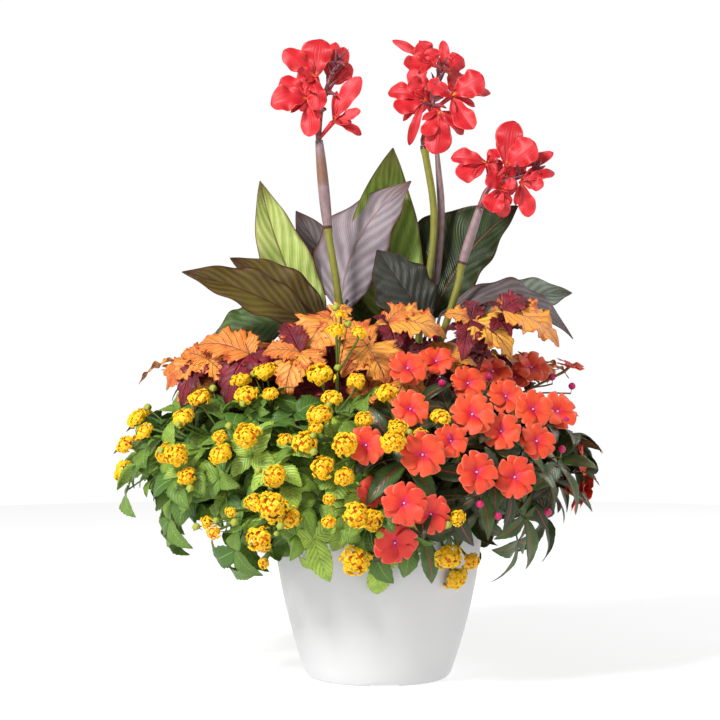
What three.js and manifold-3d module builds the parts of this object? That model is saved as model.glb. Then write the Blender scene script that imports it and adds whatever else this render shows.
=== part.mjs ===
// A mixed summer planter: orange garden impatiens on the right, yellow lantana on the left and copper coleus
// behind them, round a clump of bronze-leaved red canna, in a round tapered pot filled with potting soil.
// Millimetres, +Z up, the origin on the pot's axis at the ground, the planter's front towards -Y.
import * as THREE from "three";
import { mergeVertices } from "three/addons/utils/BufferGeometryUtils.js";
import Module from "manifold-3d";

const wasm = await Module();
wasm.setup();
const { Manifold, Mesh: SolidMesh } = wasm;

// The driving dimensions.
const POT = { rimR: 175, footR: 119, height: 294, wall: 4, curve: 1.9, sides: 26 };
const FOOT = { ringR: 112, ringInnerR: 98, padR: 50, recess: 4.5, floor: 9 };
const NOTCH = { count: 4, width: 47, height: 3.4, turn: 4.5 };
const DRAIN = { count: 3, radius: 6, at: 74 };
const SOIL_TOP = 262;
const ROOT_DEPTH = 24;
// Neighbouring pieces stand this far apart.
const GAP = 0.4;
const LEAF_THICK = 0.9;

// Places read off the reference picture, a square of 720 pixels, become real ones through its view: an eye
// 3.5 m in front of the pot's axis, tilted down a little, with 1.66 mm to a pixel at the axis.
const EYE = new THREE.Vector3(-30, -3500, 612);
const MM_PER_PIXEL = 1.66;
const TILT = THREE.MathUtils.degToRad(1.44);
const PICTURE_MIDDLE = 360;
const FOCAL = -EYE.y / MM_PER_PIXEL;

// The flowering plants spill over the rim in one low mound, and the coleus make a higher one behind it.
const FLOWER_MOUND = { centre: vec(-35, -20, 345), radii: vec(400, 310, 200) };
const COLEUS_MOUND = { centre: vec(-30, 40, 400), radii: vec(350, 270, 215) };

const COLOUR = {
  pot: 0xe6e6e4,
  soil: 0x3a2a20,
  cannaStem: 0x8a6a5c,
  cannaBloom: 0xe5262c,
  greenBlade: 0x7fa03c,
  bronzeBlade: 0x4a4428,
  purpleBlade: 0x85757a,
  coleus: 0xd9762b,
  impatiens: 0xf4512c,
  impatiensLeaf: 0x34502c,
  lantana: 0xf7b810,
  lantanaLeaf: 0x4f7f35,
};

function vec(x, y, z) {
  return new THREE.Vector3(x, y, z);
}

const UP = vec(0, 0, 1);

function mix(a, b, share) {
  return a.clone().lerp(b, share);
}

// Evenly spread draws from 0 to 1, the same on every run: the i-th of series k.
function draw(i, k) {
  const value = (i + 1) * 0.61803399 + (k + 1) * 0.7548777;
  return value - Math.floor(value);
}

// The real place of a picture point at depth y.
function seen(u, v, y) {
  const right = (u - PICTURE_MIDDLE) / FOCAL;
  const up = (PICTURE_MIDDLE - v) / FOCAL;
  const ray = vec(
    right,
    Math.cos(TILT) + Math.sin(TILT) * up,
    Math.cos(TILT) * up - Math.sin(TILT),
  );
  return EYE.clone().addScaledVector(ray, (y - EYE.y) / ray.y);
}

// The real place of a picture point on the near side of a mound.
function onMound(mound, u, v) {
  const { centre, radii } = mound;
  let point = seen(u, v, centre.y);
  for (let pass = 0; pass < 4; pass++) {
    const left =
      1 - ((point.x - centre.x) / radii.x) ** 2 - ((point.z - centre.z) / radii.z) ** 2;
    point = seen(u, v, centre.y - radii.y * Math.sqrt(Math.max(0, left)));
  }
  return point;
}

// The place on a mound at a height, at an angle round it: 0 is right, 90 is the back.
function roundMound(mound, degrees, z) {
  const { centre, radii } = mound;
  const angle = THREE.MathUtils.degToRad(degrees);
  const share = Math.sqrt(Math.max(0, 1 - ((z - centre.z) / radii.z) ** 2));
  return vec(
    centre.x + radii.x * share * Math.cos(angle),
    centre.y + radii.y * share * Math.sin(angle),
    z,
  );
}

function outward(mound, point) {
  const { centre, radii } = mound;
  return point.clone().sub(centre).divide(radii).divide(radii).normalize();
}

// The place of a blade's tip seen at a picture point, at the depth where the blade rises from the plane
// across its whorl's axis by a share of its length between least and most, as near depth y as it can be.
function tipAt(u, v, y, middle, axis, least, most) {
  let depth = y;
  let tip = seen(u, v, depth);
  for (let pass = 0; pass < 6; pass++) {
    const out = tip.clone().sub(middle);
    const rise = out.dot(axis) / out.length();
    const wanted = THREE.MathUtils.clamp(rise, least, most);
    depth += ((wanted - rise) * out.length()) / axis.y;
    tip = seen(u, v, depth);
  }
  return tip;
}

function polar(radius, degrees, z) {
  const angle = THREE.MathUtils.degToRad(degrees);
  return vec(radius * Math.cos(angle), radius * Math.sin(angle), z);
}

// A closed geometry as a solid, turned right side out if it is inside out.
function solid(geometry) {
  const bare = new THREE.BufferGeometry().setAttribute(
    "position",
    geometry.getAttribute("position").clone(),
  );
  if (geometry.index) bare.setIndex(geometry.index.clone());
  const merged = mergeVertices(bare, 1e-3);
  const points = merged.attributes.position.array;
  const all = merged.index.array;
  // Where a ring of points is drawn together, its triangles shrink to nothing and are left out.
  const corners = [];
  for (let i = 0; i < all.length; i += 3) {
    const [p, q, r] = all.slice(i, i + 3);
    if (p !== q && q !== r && r !== p) corners.push(p, q, r);
  }
  let volume = 0;
  const a = new THREE.Vector3();
  const b = new THREE.Vector3();
  const c = new THREE.Vector3();
  for (let i = 0; i < corners.length; i += 3) {
    a.fromArray(points, corners[i] * 3);
    b.fromArray(points, corners[i + 1] * 3);
    c.fromArray(points, corners[i + 2] * 3);
    volume += a.dot(b.cross(c));
  }
  if (volume < 0) {
    for (let i = 0; i < corners.length; i += 3) {
      [corners[i + 1], corners[i + 2]] = [corners[i + 2], corners[i + 1]];
    }
  }
  return new Manifold(
    new SolidMesh({ numProp: 3, vertProperties: points, triVerts: new Uint32Array(corners) }),
  );
}

function join(solids) {
  return Manifold.union(solids);
}

// Of joined solids only the main body stays, without edges too short to matter.
const SHORT_EDGE = 0.02;

function mainBody(made) {
  const main = made.decompose().reduce((most, one) => (one.volume() > most.volume() ? one : most));
  return main.simplify(SHORT_EDGE);
}

// A stem along a smooth curve through points.
function tube(points, radius, sides, steps) {
  const section = new THREE.Shape(
    Array.from({ length: sides }, (_, i) => {
      const angle = (i / sides) * 2 * Math.PI;
      return new THREE.Vector2(radius * Math.cos(angle), radius * Math.sin(angle));
    }),
  );
  const curve =
    points.length === 2
      ? new THREE.LineCurve3(points[0], points[1])
      : new THREE.CatmullRomCurve3(points, false, "centripetal");
  return solid(
    new THREE.ExtrudeGeometry(section, { steps, bevelEnabled: false, extrudePath: curve }),
  );
}

// Moves each point of a round geometry, with its axis +Y, to where shape() puts it.
// shape() gets the point's row from the top, its place in the ring, and whether it is on the axis.
function moulded(geometry, rows, around, shape) {
  const place = geometry.attributes.position;
  const point = new THREE.Vector3();
  for (let i = 0; i < place.count; i++) {
    point.fromBufferAttribute(place, i);
    const turn = (Math.atan2(point.z, point.x) / (2 * Math.PI) + 1) * around;
    const onAxis = Math.hypot(point.x, point.z) < 0.1;
    const row = Math.round(rows * (0.5 - point.y));
    const to = shape(row, Math.round(turn) % around, onAxis);
    place.setXYZ(i, to.x, to.y, to.z);
  }
  return solid(geometry);
}

// A leaf or petal: a thin blade along a rib, from its root to its tip, that bulges along its arch, and
// whose edges rise by its fold. face is the way its upper side looks. Both faces have the same triangles.
function bladeFrame({ from, to, face }) {
  const length = from.distanceTo(to);
  const along = to.clone().sub(from).normalize();
  const normal = face.clone().addScaledVector(along, -face.dot(along)).normalize();
  return { length, along, normal, side: along.clone().cross(normal) };
}

// The middle of a blade's rib at a share of its length, inside its thickness.
function ribPoint(spec, t) {
  const { length, along, normal } = bladeFrame(spec);
  const bulge = 4 * spec.arch * length * t * (1 - t);
  return spec.from
    .clone()
    .addScaledVector(along, t * length)
    .addScaledVector(normal, bulge - spec.thick / 2);
}

function blade(spec) {
  const { from, width, rows, widest, arch, fold, thick } = spec;
  const { length, along, normal, side } = bladeFrame(spec);
  const power = Math.log(0.5) / Math.log(widest);
  const point = (t, across, half) =>
    from
      .clone()
      .addScaledVector(along, t * length)
      .addScaledVector(side, across * half)
      .addScaledVector(normal, 4 * arch * length * t * (1 - t) + Math.abs(across) * fold * half);
  const grid = [];
  for (let i = 0; i <= rows; i++) {
    const t = i / rows;
    if (i === 0 || i === rows) {
      grid.push([point(t, 0, 0)]);
      continue;
    }
    const half = (width / 2) * Math.sin(Math.PI * t ** power);
    grid.push([point(t, -1, half), point(t, 0, 0), point(t, 1, half)]);
  }
  const tops = grid.flat();
  const first = [];
  grid.reduce((count, row) => (first.push(count), count + row.length), 0);
  const faces = [];
  for (let i = 0; i < rows; i++) {
    const [p, q] = [first[i], first[i + 1]];
    if (i === 0) {
      faces.push([p, q + 2, q + 1], [p, q + 1, q]);
    } else if (i === rows - 1) {
      faces.push([p, p + 1, q], [p + 1, p + 2, q]);
    } else {
      faces.push([p, p + 1, q + 1], [p, q + 1, q]);
      faces.push([p + 1, p + 2, q + 2], [p + 1, q + 2, q + 1]);
    }
  }
  const rightEdge = first.slice(1, rows).map((start) => start + 2);
  const leftEdge = first.slice(1, rows).reverse();
  const rim = [0, ...rightEdge, tops.length - 1, ...leftEdge];
  const under = tops.length;
  const corners = faces.flatMap(([a, b, c]) => [a, b, c, under + a, under + c, under + b]);
  rim.forEach((a, i) => {
    const b = rim[(i + 1) % rim.length];
    corners.push(under + a, under + b, b, under + a, b, a);
  });
  const bottoms = tops.map((top) => top.clone().addScaledVector(normal, -thick));
  const geometry = new THREE.BufferGeometry()
    .setFromPoints([...tops, ...bottoms])
    .setIndex(corners);
  return solid(geometry);
}

const THIRD_TURN = (2 * Math.PI) / 3;

function levelOf(axis) {
  return axis.clone().cross(Math.abs(axis.x) > 0.8 ? UP : vec(1, 0, 0)).normalize();
}

// A direction's turn about an axis, and the direction square to the axis at a turn.
function turnAbout(axis) {
  const level = levelOf(axis);
  const across = axis.clone().cross(level);
  return (way) => Math.atan2(way.dot(across), way.dot(level));
}

function wayAbout(axis, turn) {
  return levelOf(axis).applyAxisAngle(axis, turn);
}

// A whorl of petals or leaves and the stalk under it are one closed form. ring lists the points of its
// outline in order, each with its own upper side; the stalk runs from under the middle to its foot.
function whorl({ middle, ring, axis, foot, stalkR, neck = 2.5, thick = LEAF_THICK, raise = 0 }) {
  const rows = 3;
  const around = ring.length;
  const turnOf = turnAbout(axis);
  const down = foot.clone().sub(middle).normalize();
  // The outline draws together on the stalk's three corners, each point on the corner on its own side.
  const turns = ring.map(({ at }) => turnOf(at.clone().sub(middle)));
  for (let k = 1; k < around; k++) {
    const step = turns[k] - turns[k - 1];
    turns[k] = turns[k - 1] + Math.atan2(Math.sin(step), Math.cos(step));
  }
  const startOf = (part) => {
    const k = turns.findIndex((turn) => turn - turns[0] >= part * THIRD_TURN);
    return k < 0 ? around - 3 + part : k;
  };
  const second = startOf(1);
  const third = Math.max(startOf(2), second + 1);
  const cornerOf = (k) => (k < second ? 0 : k < third ? 1 : 2);
  const form = new THREE.CylinderGeometry(1, 1, 1, around, rows);
  return moulded(form, rows, around, (row, k, onAxis) => {
    if (row < 2) {
      if (onAxis) return middle.clone().addScaledVector(axis, raise);
      const { at, face } = ring[k];
      return at.clone().addScaledVector(face, row === 0 ? raise : raise - thick);
    }
    if (onAxis) return foot;
    const side = wayAbout(axis, turns[0] + (cornerOf(k) + 0.5) * THIRD_TURN);
    if (row === 2) {
      return middle.clone().addScaledVector(axis, -neck - thick).addScaledVector(side, stalkR);
    }
    return side.addScaledVector(down, -side.dot(down)).setLength(stalkR).add(foot);
  });
}

// The outline of a whorl: for each petal or leaf, the points of its edge as [share of its length, share of
// its half width], from its left side over the tip to its right, and between two a notch near the middle.
function whorlRing({ middle, axis, blades, edge, notch, lift, fold }) {
  const turnOf = turnAbout(axis);
  const sorted = blades
    .map(({ tip, width }) => {
      const out = tip.clone().sub(middle);
      return { out, width, turn: turnOf(out) };
    })
    .sort((a, b) => a.turn - b.turn);
  const count = sorted.length;
  const gapAfter = (i) => {
    const gap = sorted[(i + 1) % count].turn - sorted[i].turn;
    return gap > 0 ? gap : gap + 2 * Math.PI;
  };
  // Half the turn to the next blade, less a little: a blade is no wider than that.
  const room = (i) => Math.min(1.2, (gapAfter(i) / 2) * 0.82);
  const ring = [];
  sorted.forEach(({ out, width, turn }, i) => {
    const length = out.length();
    const along = out.clone().normalize();
    const face = axis.clone().addScaledVector(along, -axis.dot(along)).normalize();
    const side = face.clone().cross(along);
    const next = room(i);
    const last = room((i + count - 1) % count);
    edge.forEach(([t, share], k) => {
      const reach = (width / 2) * share;
      const rel = along.clone().multiplyScalar(t * length).addScaledVector(side, reach);
      rel.addScaledVector(face, 4 * lift * length * t * (1 - t) + fold * Math.abs(reach));
      // Seen along the axis, each blade keeps to its own share of the turn.
      const inwards = Math.min(k, edge.length - 1 - k);
      const most = (share < 0 ? last : next) * (1 - 0.15 * inwards);
      const offset = Math.atan2(Math.sin(turnOf(rel) - turn), Math.cos(turnOf(rel) - turn));
      const excess = offset - THREE.MathUtils.clamp(offset, -most, most);
      ring.push({ at: rel.applyAxisAngle(axis, -excess).add(middle), face });
    });
    const between = gapAfter(i) - 2 * next;
    const notches = Math.max(1, Math.ceil(between / 1.4));
    for (let k = 0; k < notches; k++) {
      const way = wayAbout(axis, turn + next + (between * (k + 0.5)) / notches);
      ring.push({ at: middle.clone().addScaledVector(way, notch), face: axis });
    }
  });
  return ring;
}

// What stands already, so that a new leaf or spray can be bent clear of it.
const standing = [];

function stand(made) {
  standing.push({ made, box: made.boundingBox() });
  return made;
}

function meets(made) {
  const box = made.boundingBox();
  return standing.some(
    (other) =>
      [0, 1, 2].every(
        (i) => box.min[i] <= other.box.max[i] && box.max[i] >= other.box.min[i],
      ) && !other.made.intersect(made).isEmpty(),
  );
}

function whorlIsClear(spec) {
  return !meets(whorl({ ...spec, thick: LEAF_THICK + 2 * GAP, raise: GAP, neck: 2.2 }));
}

// The pot's outside narrows towards its foot, more and more.
function potRadius(z) {
  return POT.rimR - (POT.rimR - POT.footR) * (1 - z / POT.height) ** POT.curve;
}

function turned(profile) {
  const points = profile.map(([r, z]) => new THREE.Vector2(r, z));
  return solid(new THREE.LatheGeometry(points, POT.sides).rotateX(Math.PI / 2));
}

const SOIL_EDGE = SOIL_TOP - 8;
const OUTER_HEIGHTS = [30, 80, 150];
const INNER_HEIGHTS = [25, 120, SOIL_EDGE];

function makePot() {
  const rim = POT.height;
  const outer = OUTER_HEIGHTS.map((z) => [potRadius(z), z]);
  const inner = INNER_HEIGHTS.map((z) => [potRadius(z) - POT.wall, z]).reverse();
  let pot = turned([
    [0, 0],
    [FOOT.padR, 0],
    [FOOT.padR + 2, FOOT.recess],
    [FOOT.ringInnerR - 2, FOOT.recess],
    [FOOT.ringInnerR, 0],
    [FOOT.ringR, 0],
    [POT.footR - 1, 4],
    ...outer,
    [POT.rimR, rim - 1.5],
    [POT.rimR - 1.5, rim],
    [POT.rimR - POT.wall, rim - 1],
    ...inner,
    [FOOT.ringR - 2, FOOT.floor],
    [0, FOOT.floor],
  ]);
  for (let i = 0; i < NOTCH.count; i++) {
    const angle = THREE.MathUtils.degToRad(NOTCH.turn + (i * 360) / NOTCH.count);
    const depth = POT.footR - FOOT.ringInnerR + 16;
    const slot = new THREE.BoxGeometry(depth, NOTCH.width, 2 * NOTCH.height);
    slot.translate(FOOT.ringInnerR - 4 + depth / 2, 0, 0).rotateZ(angle);
    pot = pot.subtract(solid(slot));
  }
  for (let i = 0; i < DRAIN.count; i++) {
    const drain = new THREE.CylinderGeometry(DRAIN.radius, DRAIN.radius, 3 * FOOT.floor, 6);
    const at = polar(DRAIN.at, 45 + (i * 360) / DRAIN.count, FOOT.floor);
    pot = pot.subtract(solid(drain.rotateX(Math.PI / 2).translate(at.x, at.y, at.z)));
  }
  return pot;
}

// A stem stands in the soil in a plain hole a little wider than itself.
function rootHole({ x, y, radius }) {
  const depth = ROOT_DEPTH + GAP;
  const wide = (radius + GAP) / Math.cos(Math.PI / 6);
  const hole = new THREE.CylinderGeometry(wide, wide, 2 * depth, 6);
  return solid(hole.rotateX(Math.PI / 2).translate(x, y, SOIL_TOP));
}

function makeSoil(roots) {
  const wall = INNER_HEIGHTS.map((z) => [potRadius(z) - POT.wall - GAP, z]);
  const soil = turned([
    [0, FOOT.floor + GAP],
    [FOOT.ringR - 3, FOOT.floor + GAP],
    ...wall,
    [0, SOIL_TOP],
  ]);
  return soil.subtract(join(roots.map(rootHole)));
}

// Each flowering stem: its root in the soil, then [u, v, depth] up to the foot of its flower head.
const CANNA_STEMS = [
  { root: [-24, 2], way: [[338, 294, -36], [328, 229, -38], [319, 140, -40]] },
  { root: [26, 36], way: [[420, 330, 36], [434, 224, 40], [424, 145, 40]] },
  { root: [30, -22], way: [[453, 302, -45], [462, 264, -46], [480, 208, -48]] },
];
const CANNA_STEM_R = 6;
const CANNA_SHEATH_R = 9.5;

// Each head: the rachis from foot to top, and its flowers as a middle with petals
// [u, v of the tip, depth of the tip against the middle, width in pixels].
const CANNA_HEADS = [
  {
    rachis: [[319, 138, -40], [323, 100, -38], [338, 58, -36]],
    flowers: [
      {
        at: [316, 78, -46],
        petals: [[321, 38, 8, 25], [283, 51, -6, 18], [296, 72, -34, 11], [318, 108, -30, 16]],
      },
      { at: [309, 101, -46], petals: [[271, 104, -14, 22], [281, 80, 10, 19], [309, 136, -12, 16]] },
      { at: [332, 84, -32], petals: [[345, 47, 4, 15], [336, 41, 26, 13], [350, 66, 42, 15]] },
      { at: [333, 124, -40], petals: [[362, 78, -4, 15], [360, 110, -14, 9], [362, 134, 6, 8]] },
      { at: [318, 92, -22], petals: [[300, 66, 48, 18], [326, 96, 62, 18], [300, 112, 44, 16]] },
    ],
  },
  {
    rachis: [[424, 143, 40], [431, 112, 38], [440, 66, 36]],
    flowers: [
      {
        at: [433, 68, 32],
        petals: [[421, 41, -4, 17], [432, 48, -22, 13], [403, 65, -18, 14], [393, 38, 8, 8]],
      },
      {
        at: [425, 99, 32],
        petals: [[388, 92, 8, 15], [393, 109, -14, 16], [413, 77, -26, 14], [409, 145, 0, 8]],
      },
      {
        at: [452, 96, 32],
        petals: [[484, 77, -12, 24], [473, 130, -14, 19], [430, 82, -34, 15], [490, 94, 22, 9]],
      },
      { at: [439, 114, 32], petals: [[434, 155, -8, 22], [423, 134, -24, 13], [464, 134, 12, 10]] },
      {
        at: [449, 74, 40],
        petals: [[464, 58, 6, 17], [443, 42, 16, 9], [440, 62, 56, 18], [462, 92, 52, 18]],
      },
      { at: [428, 92, 50], petals: [[410, 70, 44, 18], [412, 112, 46, 18], [436, 104, 58, 16]] },
    ],
  },
  {
    rachis: [[480, 206, -48], [492, 186, -46], [532, 172, -42]],
    flowers: [
      { at: [506, 168, -50], petals: [[514, 120, 4, 22], [536, 143, -16, 24], [553, 154, 14, 11]] },
      { at: [487, 164, -46], petals: [[451, 157, 4, 14], [498, 151, 16, 11], [456, 173, -16, 17]] },
      {
        at: [501, 190, -56],
        petals: [[486, 176, -24, 16], [492, 213, -12, 18], [504, 217, -4, 13], [517, 184, -28, 10]],
      },
      { at: [520, 188, -46], petals: [[544, 187, -12, 12], [529, 217, 0, 14], [555, 172, 8, 9]] },
      { at: [505, 178, -34], petals: [[490, 162, 46, 18], [522, 160, 48, 18], [512, 196, 50, 17]] },
    ],
  },
];

// Each leaf: its stem, the height where its stalk leaves it, blade root and tip as [u, v, depth], width,
// the way its upper side looks, and its arch, fold and colour.
const CANNA_LEAVES = [
  {
    stem: 0, leaves: 400, root: [322, 335, 34], tip: [260, 181, 52], width: 92,
    face: [0.35, -1, 0.1], arch: -0.05, fold: 0.32, colour: "greenBlade",
  },
  {
    stem: 0, leaves: 455, root: [341, 312, -2], tip: [411, 181, 24], width: 138,
    face: [0.62, 0.78, 0.2], arch: -0.03, fold: 0.42, colour: "purpleBlade",
  },
  {
    stem: 1, leaves: 395, root: [402, 338, 66], tip: [393, 148, 92], width: 126,
    face: [0.05, -1, 0.1], arch: 0.02, fold: 0.3, colour: "greenBlade",
  },
  {
    stem: 1, leaves: 440, root: [428, 322, -6], tip: [377, 250, 2], width: 92,
    face: [0.25, -0.75, 0.6], arch: 0.08, fold: 0.25, colour: "bronzeBlade",
  },
  {
    stem: 2, leaves: 400, root: [433, 318, 12], tip: [518, 206, 34], width: 118,
    face: [-0.35, -0.9, 0.3], arch: -0.1, fold: 0.24, colour: "bronzeBlade",
  },
  {
    stem: 2, leaves: 450, root: [440, 316, -16], tip: [573, 339, -46], width: 84,
    face: [0.05, -0.45, 1], arch: 0.24, fold: 0.2, colour: "purpleBlade",
  },
  {
    stem: 2, leaves: 420, root: [478, 322, 66], tip: [572, 293, 110], width: 88,
    face: [-0.1, -0.85, 0.75], arch: 0.12, fold: 0.2, colour: "greenBlade",
  },
  {
    stem: 0, leaves: 425, root: [312, 326, -44], tip: [182, 272, -84], width: 92,
    face: [0.15, -0.8, 0.75], arch: 0.07, fold: 0.2, colour: "bronzeBlade",
  },
  {
    stem: 0, leaves: 380, root: [325, 322, 2], tip: [230, 258, -12], width: 82,
    face: [0.1, -0.85, 0.6], arch: 0.05, fold: 0.2, colour: "bronzeBlade",
  },
  {
    stem: 0, leaves: 360, root: [290, 322, 44], tip: [209, 346, 26], width: 100,
    face: [0, -0.7, 0.75], arch: 0.1, fold: 0.15, colour: "greenBlade",
  },
  {
    stem: 1, leaves: 420, root: [352, 306, 104], tip: [296, 211, 132], width: 84,
    face: [0.2, -1, 0.2], arch: 0.02, fold: 0.25, colour: "purpleBlade",
  },
  {
    stem: 1, leaves: 370, root: [396, 326, 122], tip: [424, 262, 250], width: 112,
    face: [0.1, -0.55, 0.9], arch: 0.12, fold: 0.22, colour: "greenBlade",
  },
];

const stemCurves = CANNA_STEMS.map(({ root, way }) => {
  const foot = vec(root[0], root[1], SOIL_TOP - ROOT_DEPTH);
  const above = foot.clone().setZ(SOIL_TOP + 60);
  return new THREE.CatmullRomCurve3(
    [foot, above, ...way.map((place) => seen(...place))],
    false,
    "centripetal",
  );
});

function stemPointAt(stem, z) {
  return stemCurves[stem].getPoints(60).find((point) => point.z >= z);
}

// A stalk as thin as a reed below, in a thick leaf sheath above its joint.
function makeCannaStem(index) {
  const curve = stemCurves[index];
  const jointAt = 0.66;
  const lower = tube(curve.getPoints(6), CANNA_STEM_R, 5, 6);
  const sheathWay = [jointAt, (jointAt + 1) / 2, 0.99, 1].map((t) => curve.getPointAt(t));
  return join([lower, tube(sheathWay, CANNA_SHEATH_R, 5, 2)]);
}

// The edge of a canna petal: widest past its middle, with a blunt tip.
const CANNA_PETAL = [[0.62, -1], [0.96, -0.4], [0.96, 0.4], [0.62, 1]];
// The least length of the tube between the rachis and a flower's petals.
const TUBE_LENGTH = 16;

// One head is one piece: rachis, unopened buds, flower tubes and petals.
function makeCannaHead({ rachis, flowers }, index) {
  const stem = stemCurves[index];
  const onwards = stem.getTangentAt(1);
  const way = rachis.map((place) => seen(...place));
  way[0] = stem.getPointAt(1).addScaledVector(onwards, 2 * GAP);
  const parts = [tube([way[0], way[0].clone().addScaledVector(onwards, 8), way[1], way[2]], 4.5, 5, 3)];
  const top = way[2];
  const lean = top.clone().sub(way[1]).normalize();
  for (let i = 0; i < 4; i++) {
    const from = mix(way[1], top, 0.4 + 0.18 * i);
    const spread = polar(0.5, i * 137.5, 0);
    const to = from.clone().addScaledVector(lean.clone().add(spread), 30);
    parts.push(tube([from, to], 2.6, 3, 1));
  }
  flowers.forEach(({ at, petals }, order) => {
    const middle = seen(...at);
    const depths = petals.reduce((sum, [, , dy]) => sum + dy, 0) / petals.length;
    const axis = vec(0, depths > 20 ? 0.94 : -0.94, 0.34);
    // No two flower tubes end at one point, and each flower opens well clear of the rachis.
    const near = way.reduce((a, b) => (a.distanceTo(middle) < b.distanceTo(middle) ? a : b));
    const foot = near.clone().addScaledVector(lean, 1.3 * order - 2.6);
    const clearance = middle.clone().sub(foot).dot(axis);
    middle.addScaledVector(axis, Math.max(0, TUBE_LENGTH - clearance));
    const blades = petals.map(([u, v, dy, width]) => ({
      tip: tipAt(u, v, middle.y + dy, middle, axis, -0.35, 0.6),
      width: width * 1.25 * MM_PER_PIXEL,
    }));
    const ring = whorlRing({ middle, axis, blades, edge: CANNA_PETAL, notch: 7, lift: 0.06, fold: 0.1 });
    parts.push(whorl({ middle, ring, axis, foot, stalkR: 3, neck: 4, thick: 1 }));
  });
  return mainBody(join(parts));
}

// A blade on a stalk whose foot stands against the stem, as near as it can. The blade is moved in depth
// until it is clear of what stands.
function makeCannaLeaf({ stem, leaves, root, tip, width, face, arch, fold }) {
  const beside = stemPointAt(stem, leaves);
  const stalkR = 4;
  const [rootU, rootV, rootY] = root;
  const [tipU, tipV, tipY] = tip;
  let made;
  for (let attempt = 0; attempt < 15; attempt++) {
    const shift = Math.ceil(attempt / 2) * 7 * (attempt % 2 ? 1 : -1);
    const spec = {
      from: seen(rootU, rootV, rootY + shift),
      to: seen(tipU, tipV, tipY + shift),
      width,
      face: vec(...face),
      rows: 5,
      widest: 0.42,
      arch,
      fold,
      thick: 1.2,
    };
    const away = spec.from.clone().sub(beside).setZ(0).normalize();
    for (let reach = 0.7; reach <= 1.06; reach += 0.04) {
      const off = (CANNA_STEM_R + stalkR) * reach + GAP;
      const foot = beside.clone().addScaledVector(away, off);
      const above = stemPointAt(stem, leaves + 26).clone().addScaledVector(away, off + 1);
      const middle = mix(above, spec.from, 0.6).add(vec(0, 0, -5));
      made = join([
        tube([foot, above, middle, ribPoint(spec, 0.02), ribPoint(spec, 0.1)], stalkR, 4, 3),
        blade(spec),
      ]);
      if (!meets(made)) return made;
    }
  }
  return made;
}

// Every bloom and head of the mound, in the order in which they lie on each other, lowest first.
const flowersSet = [];

// Pushes a new flower out along its own axis until it lies clear on those set before it.
function settle(flower) {
  const step = 4;
  const tries = 12;
  for (let i = 0; i < tries; i++) {
    const crowded = flowersSet.some((other) => {
      const between = flower.at.clone().sub(other.at);
      const along = Math.abs(between.dot(other.axis));
      const across = Math.sqrt(Math.max(0, between.lengthSq() - along * along));
      const reach = flower.radius + other.radius;
      const depth = Math.min(flower.depth + other.depth, 0.9 * reach);
      return across < 0.94 * reach && along < depth;
    });
    if (!crowded) break;
    flower.at.addScaledVector(flower.axis, step);
  }
  flowersSet.push(flower);
  return flower;
}

// Places as [u, v, width in pixels], an optional depth, and "side" for a bloom seen from its side.
const IMPATIENS_SPRAYS = [
  { plant: 0, seen: [[436, 363, 34], [407, 370, 38], [410, 410, 36]] },
  { plant: 1, seen: [[493, 371, 36], [468, 383, 35], [506, 396, 36]] },
  { plant: 1, seen: [[515, 377, 28], [529, 371, 34], [570, 365, 27, -20, "side"]] },
  { plant: 1, seen: [[537, 441, 36], [530, 412, 37], [558, 411, 39]] },
  { plant: 0, seen: [[451, 441, 33], [501, 431, 38], [472, 416, 42], [422, 455, 43]] },
  { plant: 1, seen: [[515, 477, 41], [477, 472, 40]] },
  {
    plant: 0,
    seen: [[366, 445, 36], [372, 492, 30, -290, "side"], [431, 514, 38], [404, 503, 42], [395, 543, 42]],
  },
  { plant: 1, seen: [[581, 457, 36, -40, "side"], [566, 477, 34, -70, "side"], [573, 495, 32, -60, "side"]] },
];
// Round the back as [degrees round the mound, height, width].
const IMPATIENS_BACK_SPRAYS = [
  { plant: 2, round: [[14, 440, 62], [24, 372, 64], [12, 306, 60]] },
  { plant: 2, round: [[50, 440, 62], [44, 362, 64], [56, 300, 58]] },
  { plant: 2, round: [[76, 446, 58], [84, 375, 62], [70, 322, 60]] },
];
const LANTANA_SPRAYS = [
  { plant: 0, seen: [[138, 420, 20], [126, 445, 20], [145, 432, 19], [166, 453, 21]] },
  { plant: 0, seen: [[200, 399, 22], [184, 418, 22], [187, 477, 19], [181, 461, 24]] },
  { plant: 0, seen: [[241, 381, 19], [247, 396, 24], [266, 373, 24], [271, 394, 16]] },
  { plant: 0, seen: [[220, 437, 15], [221, 454, 23], [248, 436, 27]] },
  { plant: 1, seen: [[207, 522, 12], [216, 531, 15], [231, 512, 11], [264, 563, 12], [260, 539, 26]] },
  { plant: 1, seen: [[254, 503, 19], [290, 517, 22], [277, 507, 30], [275, 476, 24]] },
  { plant: 1, seen: [[321, 375, 28], [332, 399, 20], [320, 415, 24], [357, 382, 19]] },
  { plant: 1, seen: [[336, 331, 17, -214], [359, 333, 15, -214], [341, 317, 11, -206]] },
  { plant: 1, seen: [[285, 440, 14], [315, 430, 15], [305, 445, 24]] },
  { plant: 2, seen: [[344, 477, 20], [323, 468, 24], [346, 453, 26], [364, 422, 18]] },
  { plant: 2, seen: [[329, 499, 12], [329, 522, 14], [372, 520, 22], [357, 518, 26], [356, 560, 30]] },
  { plant: 2, seen: [[387, 394, 22], [397, 429, 21], [421, 436, 16], [440, 422, 20], [394, 453, 25]] },
  { plant: 2, seen: [[458, 518, 16], [471, 561, 17], [456, 578, 25], [448, 557, 27]] },
];
const LANTANA_BACK_SPRAYS = [
  { plant: 3, round: [[172, 425, 40], [168, 335, 40], [158, 385, 44]] },
  { plant: 3, round: [[140, 432, 42], [148, 335, 40], [132, 375, 44]] },
  { plant: 3, round: [[112, 440, 42], [108, 350, 44], [98, 395, 40]] },
];
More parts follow.
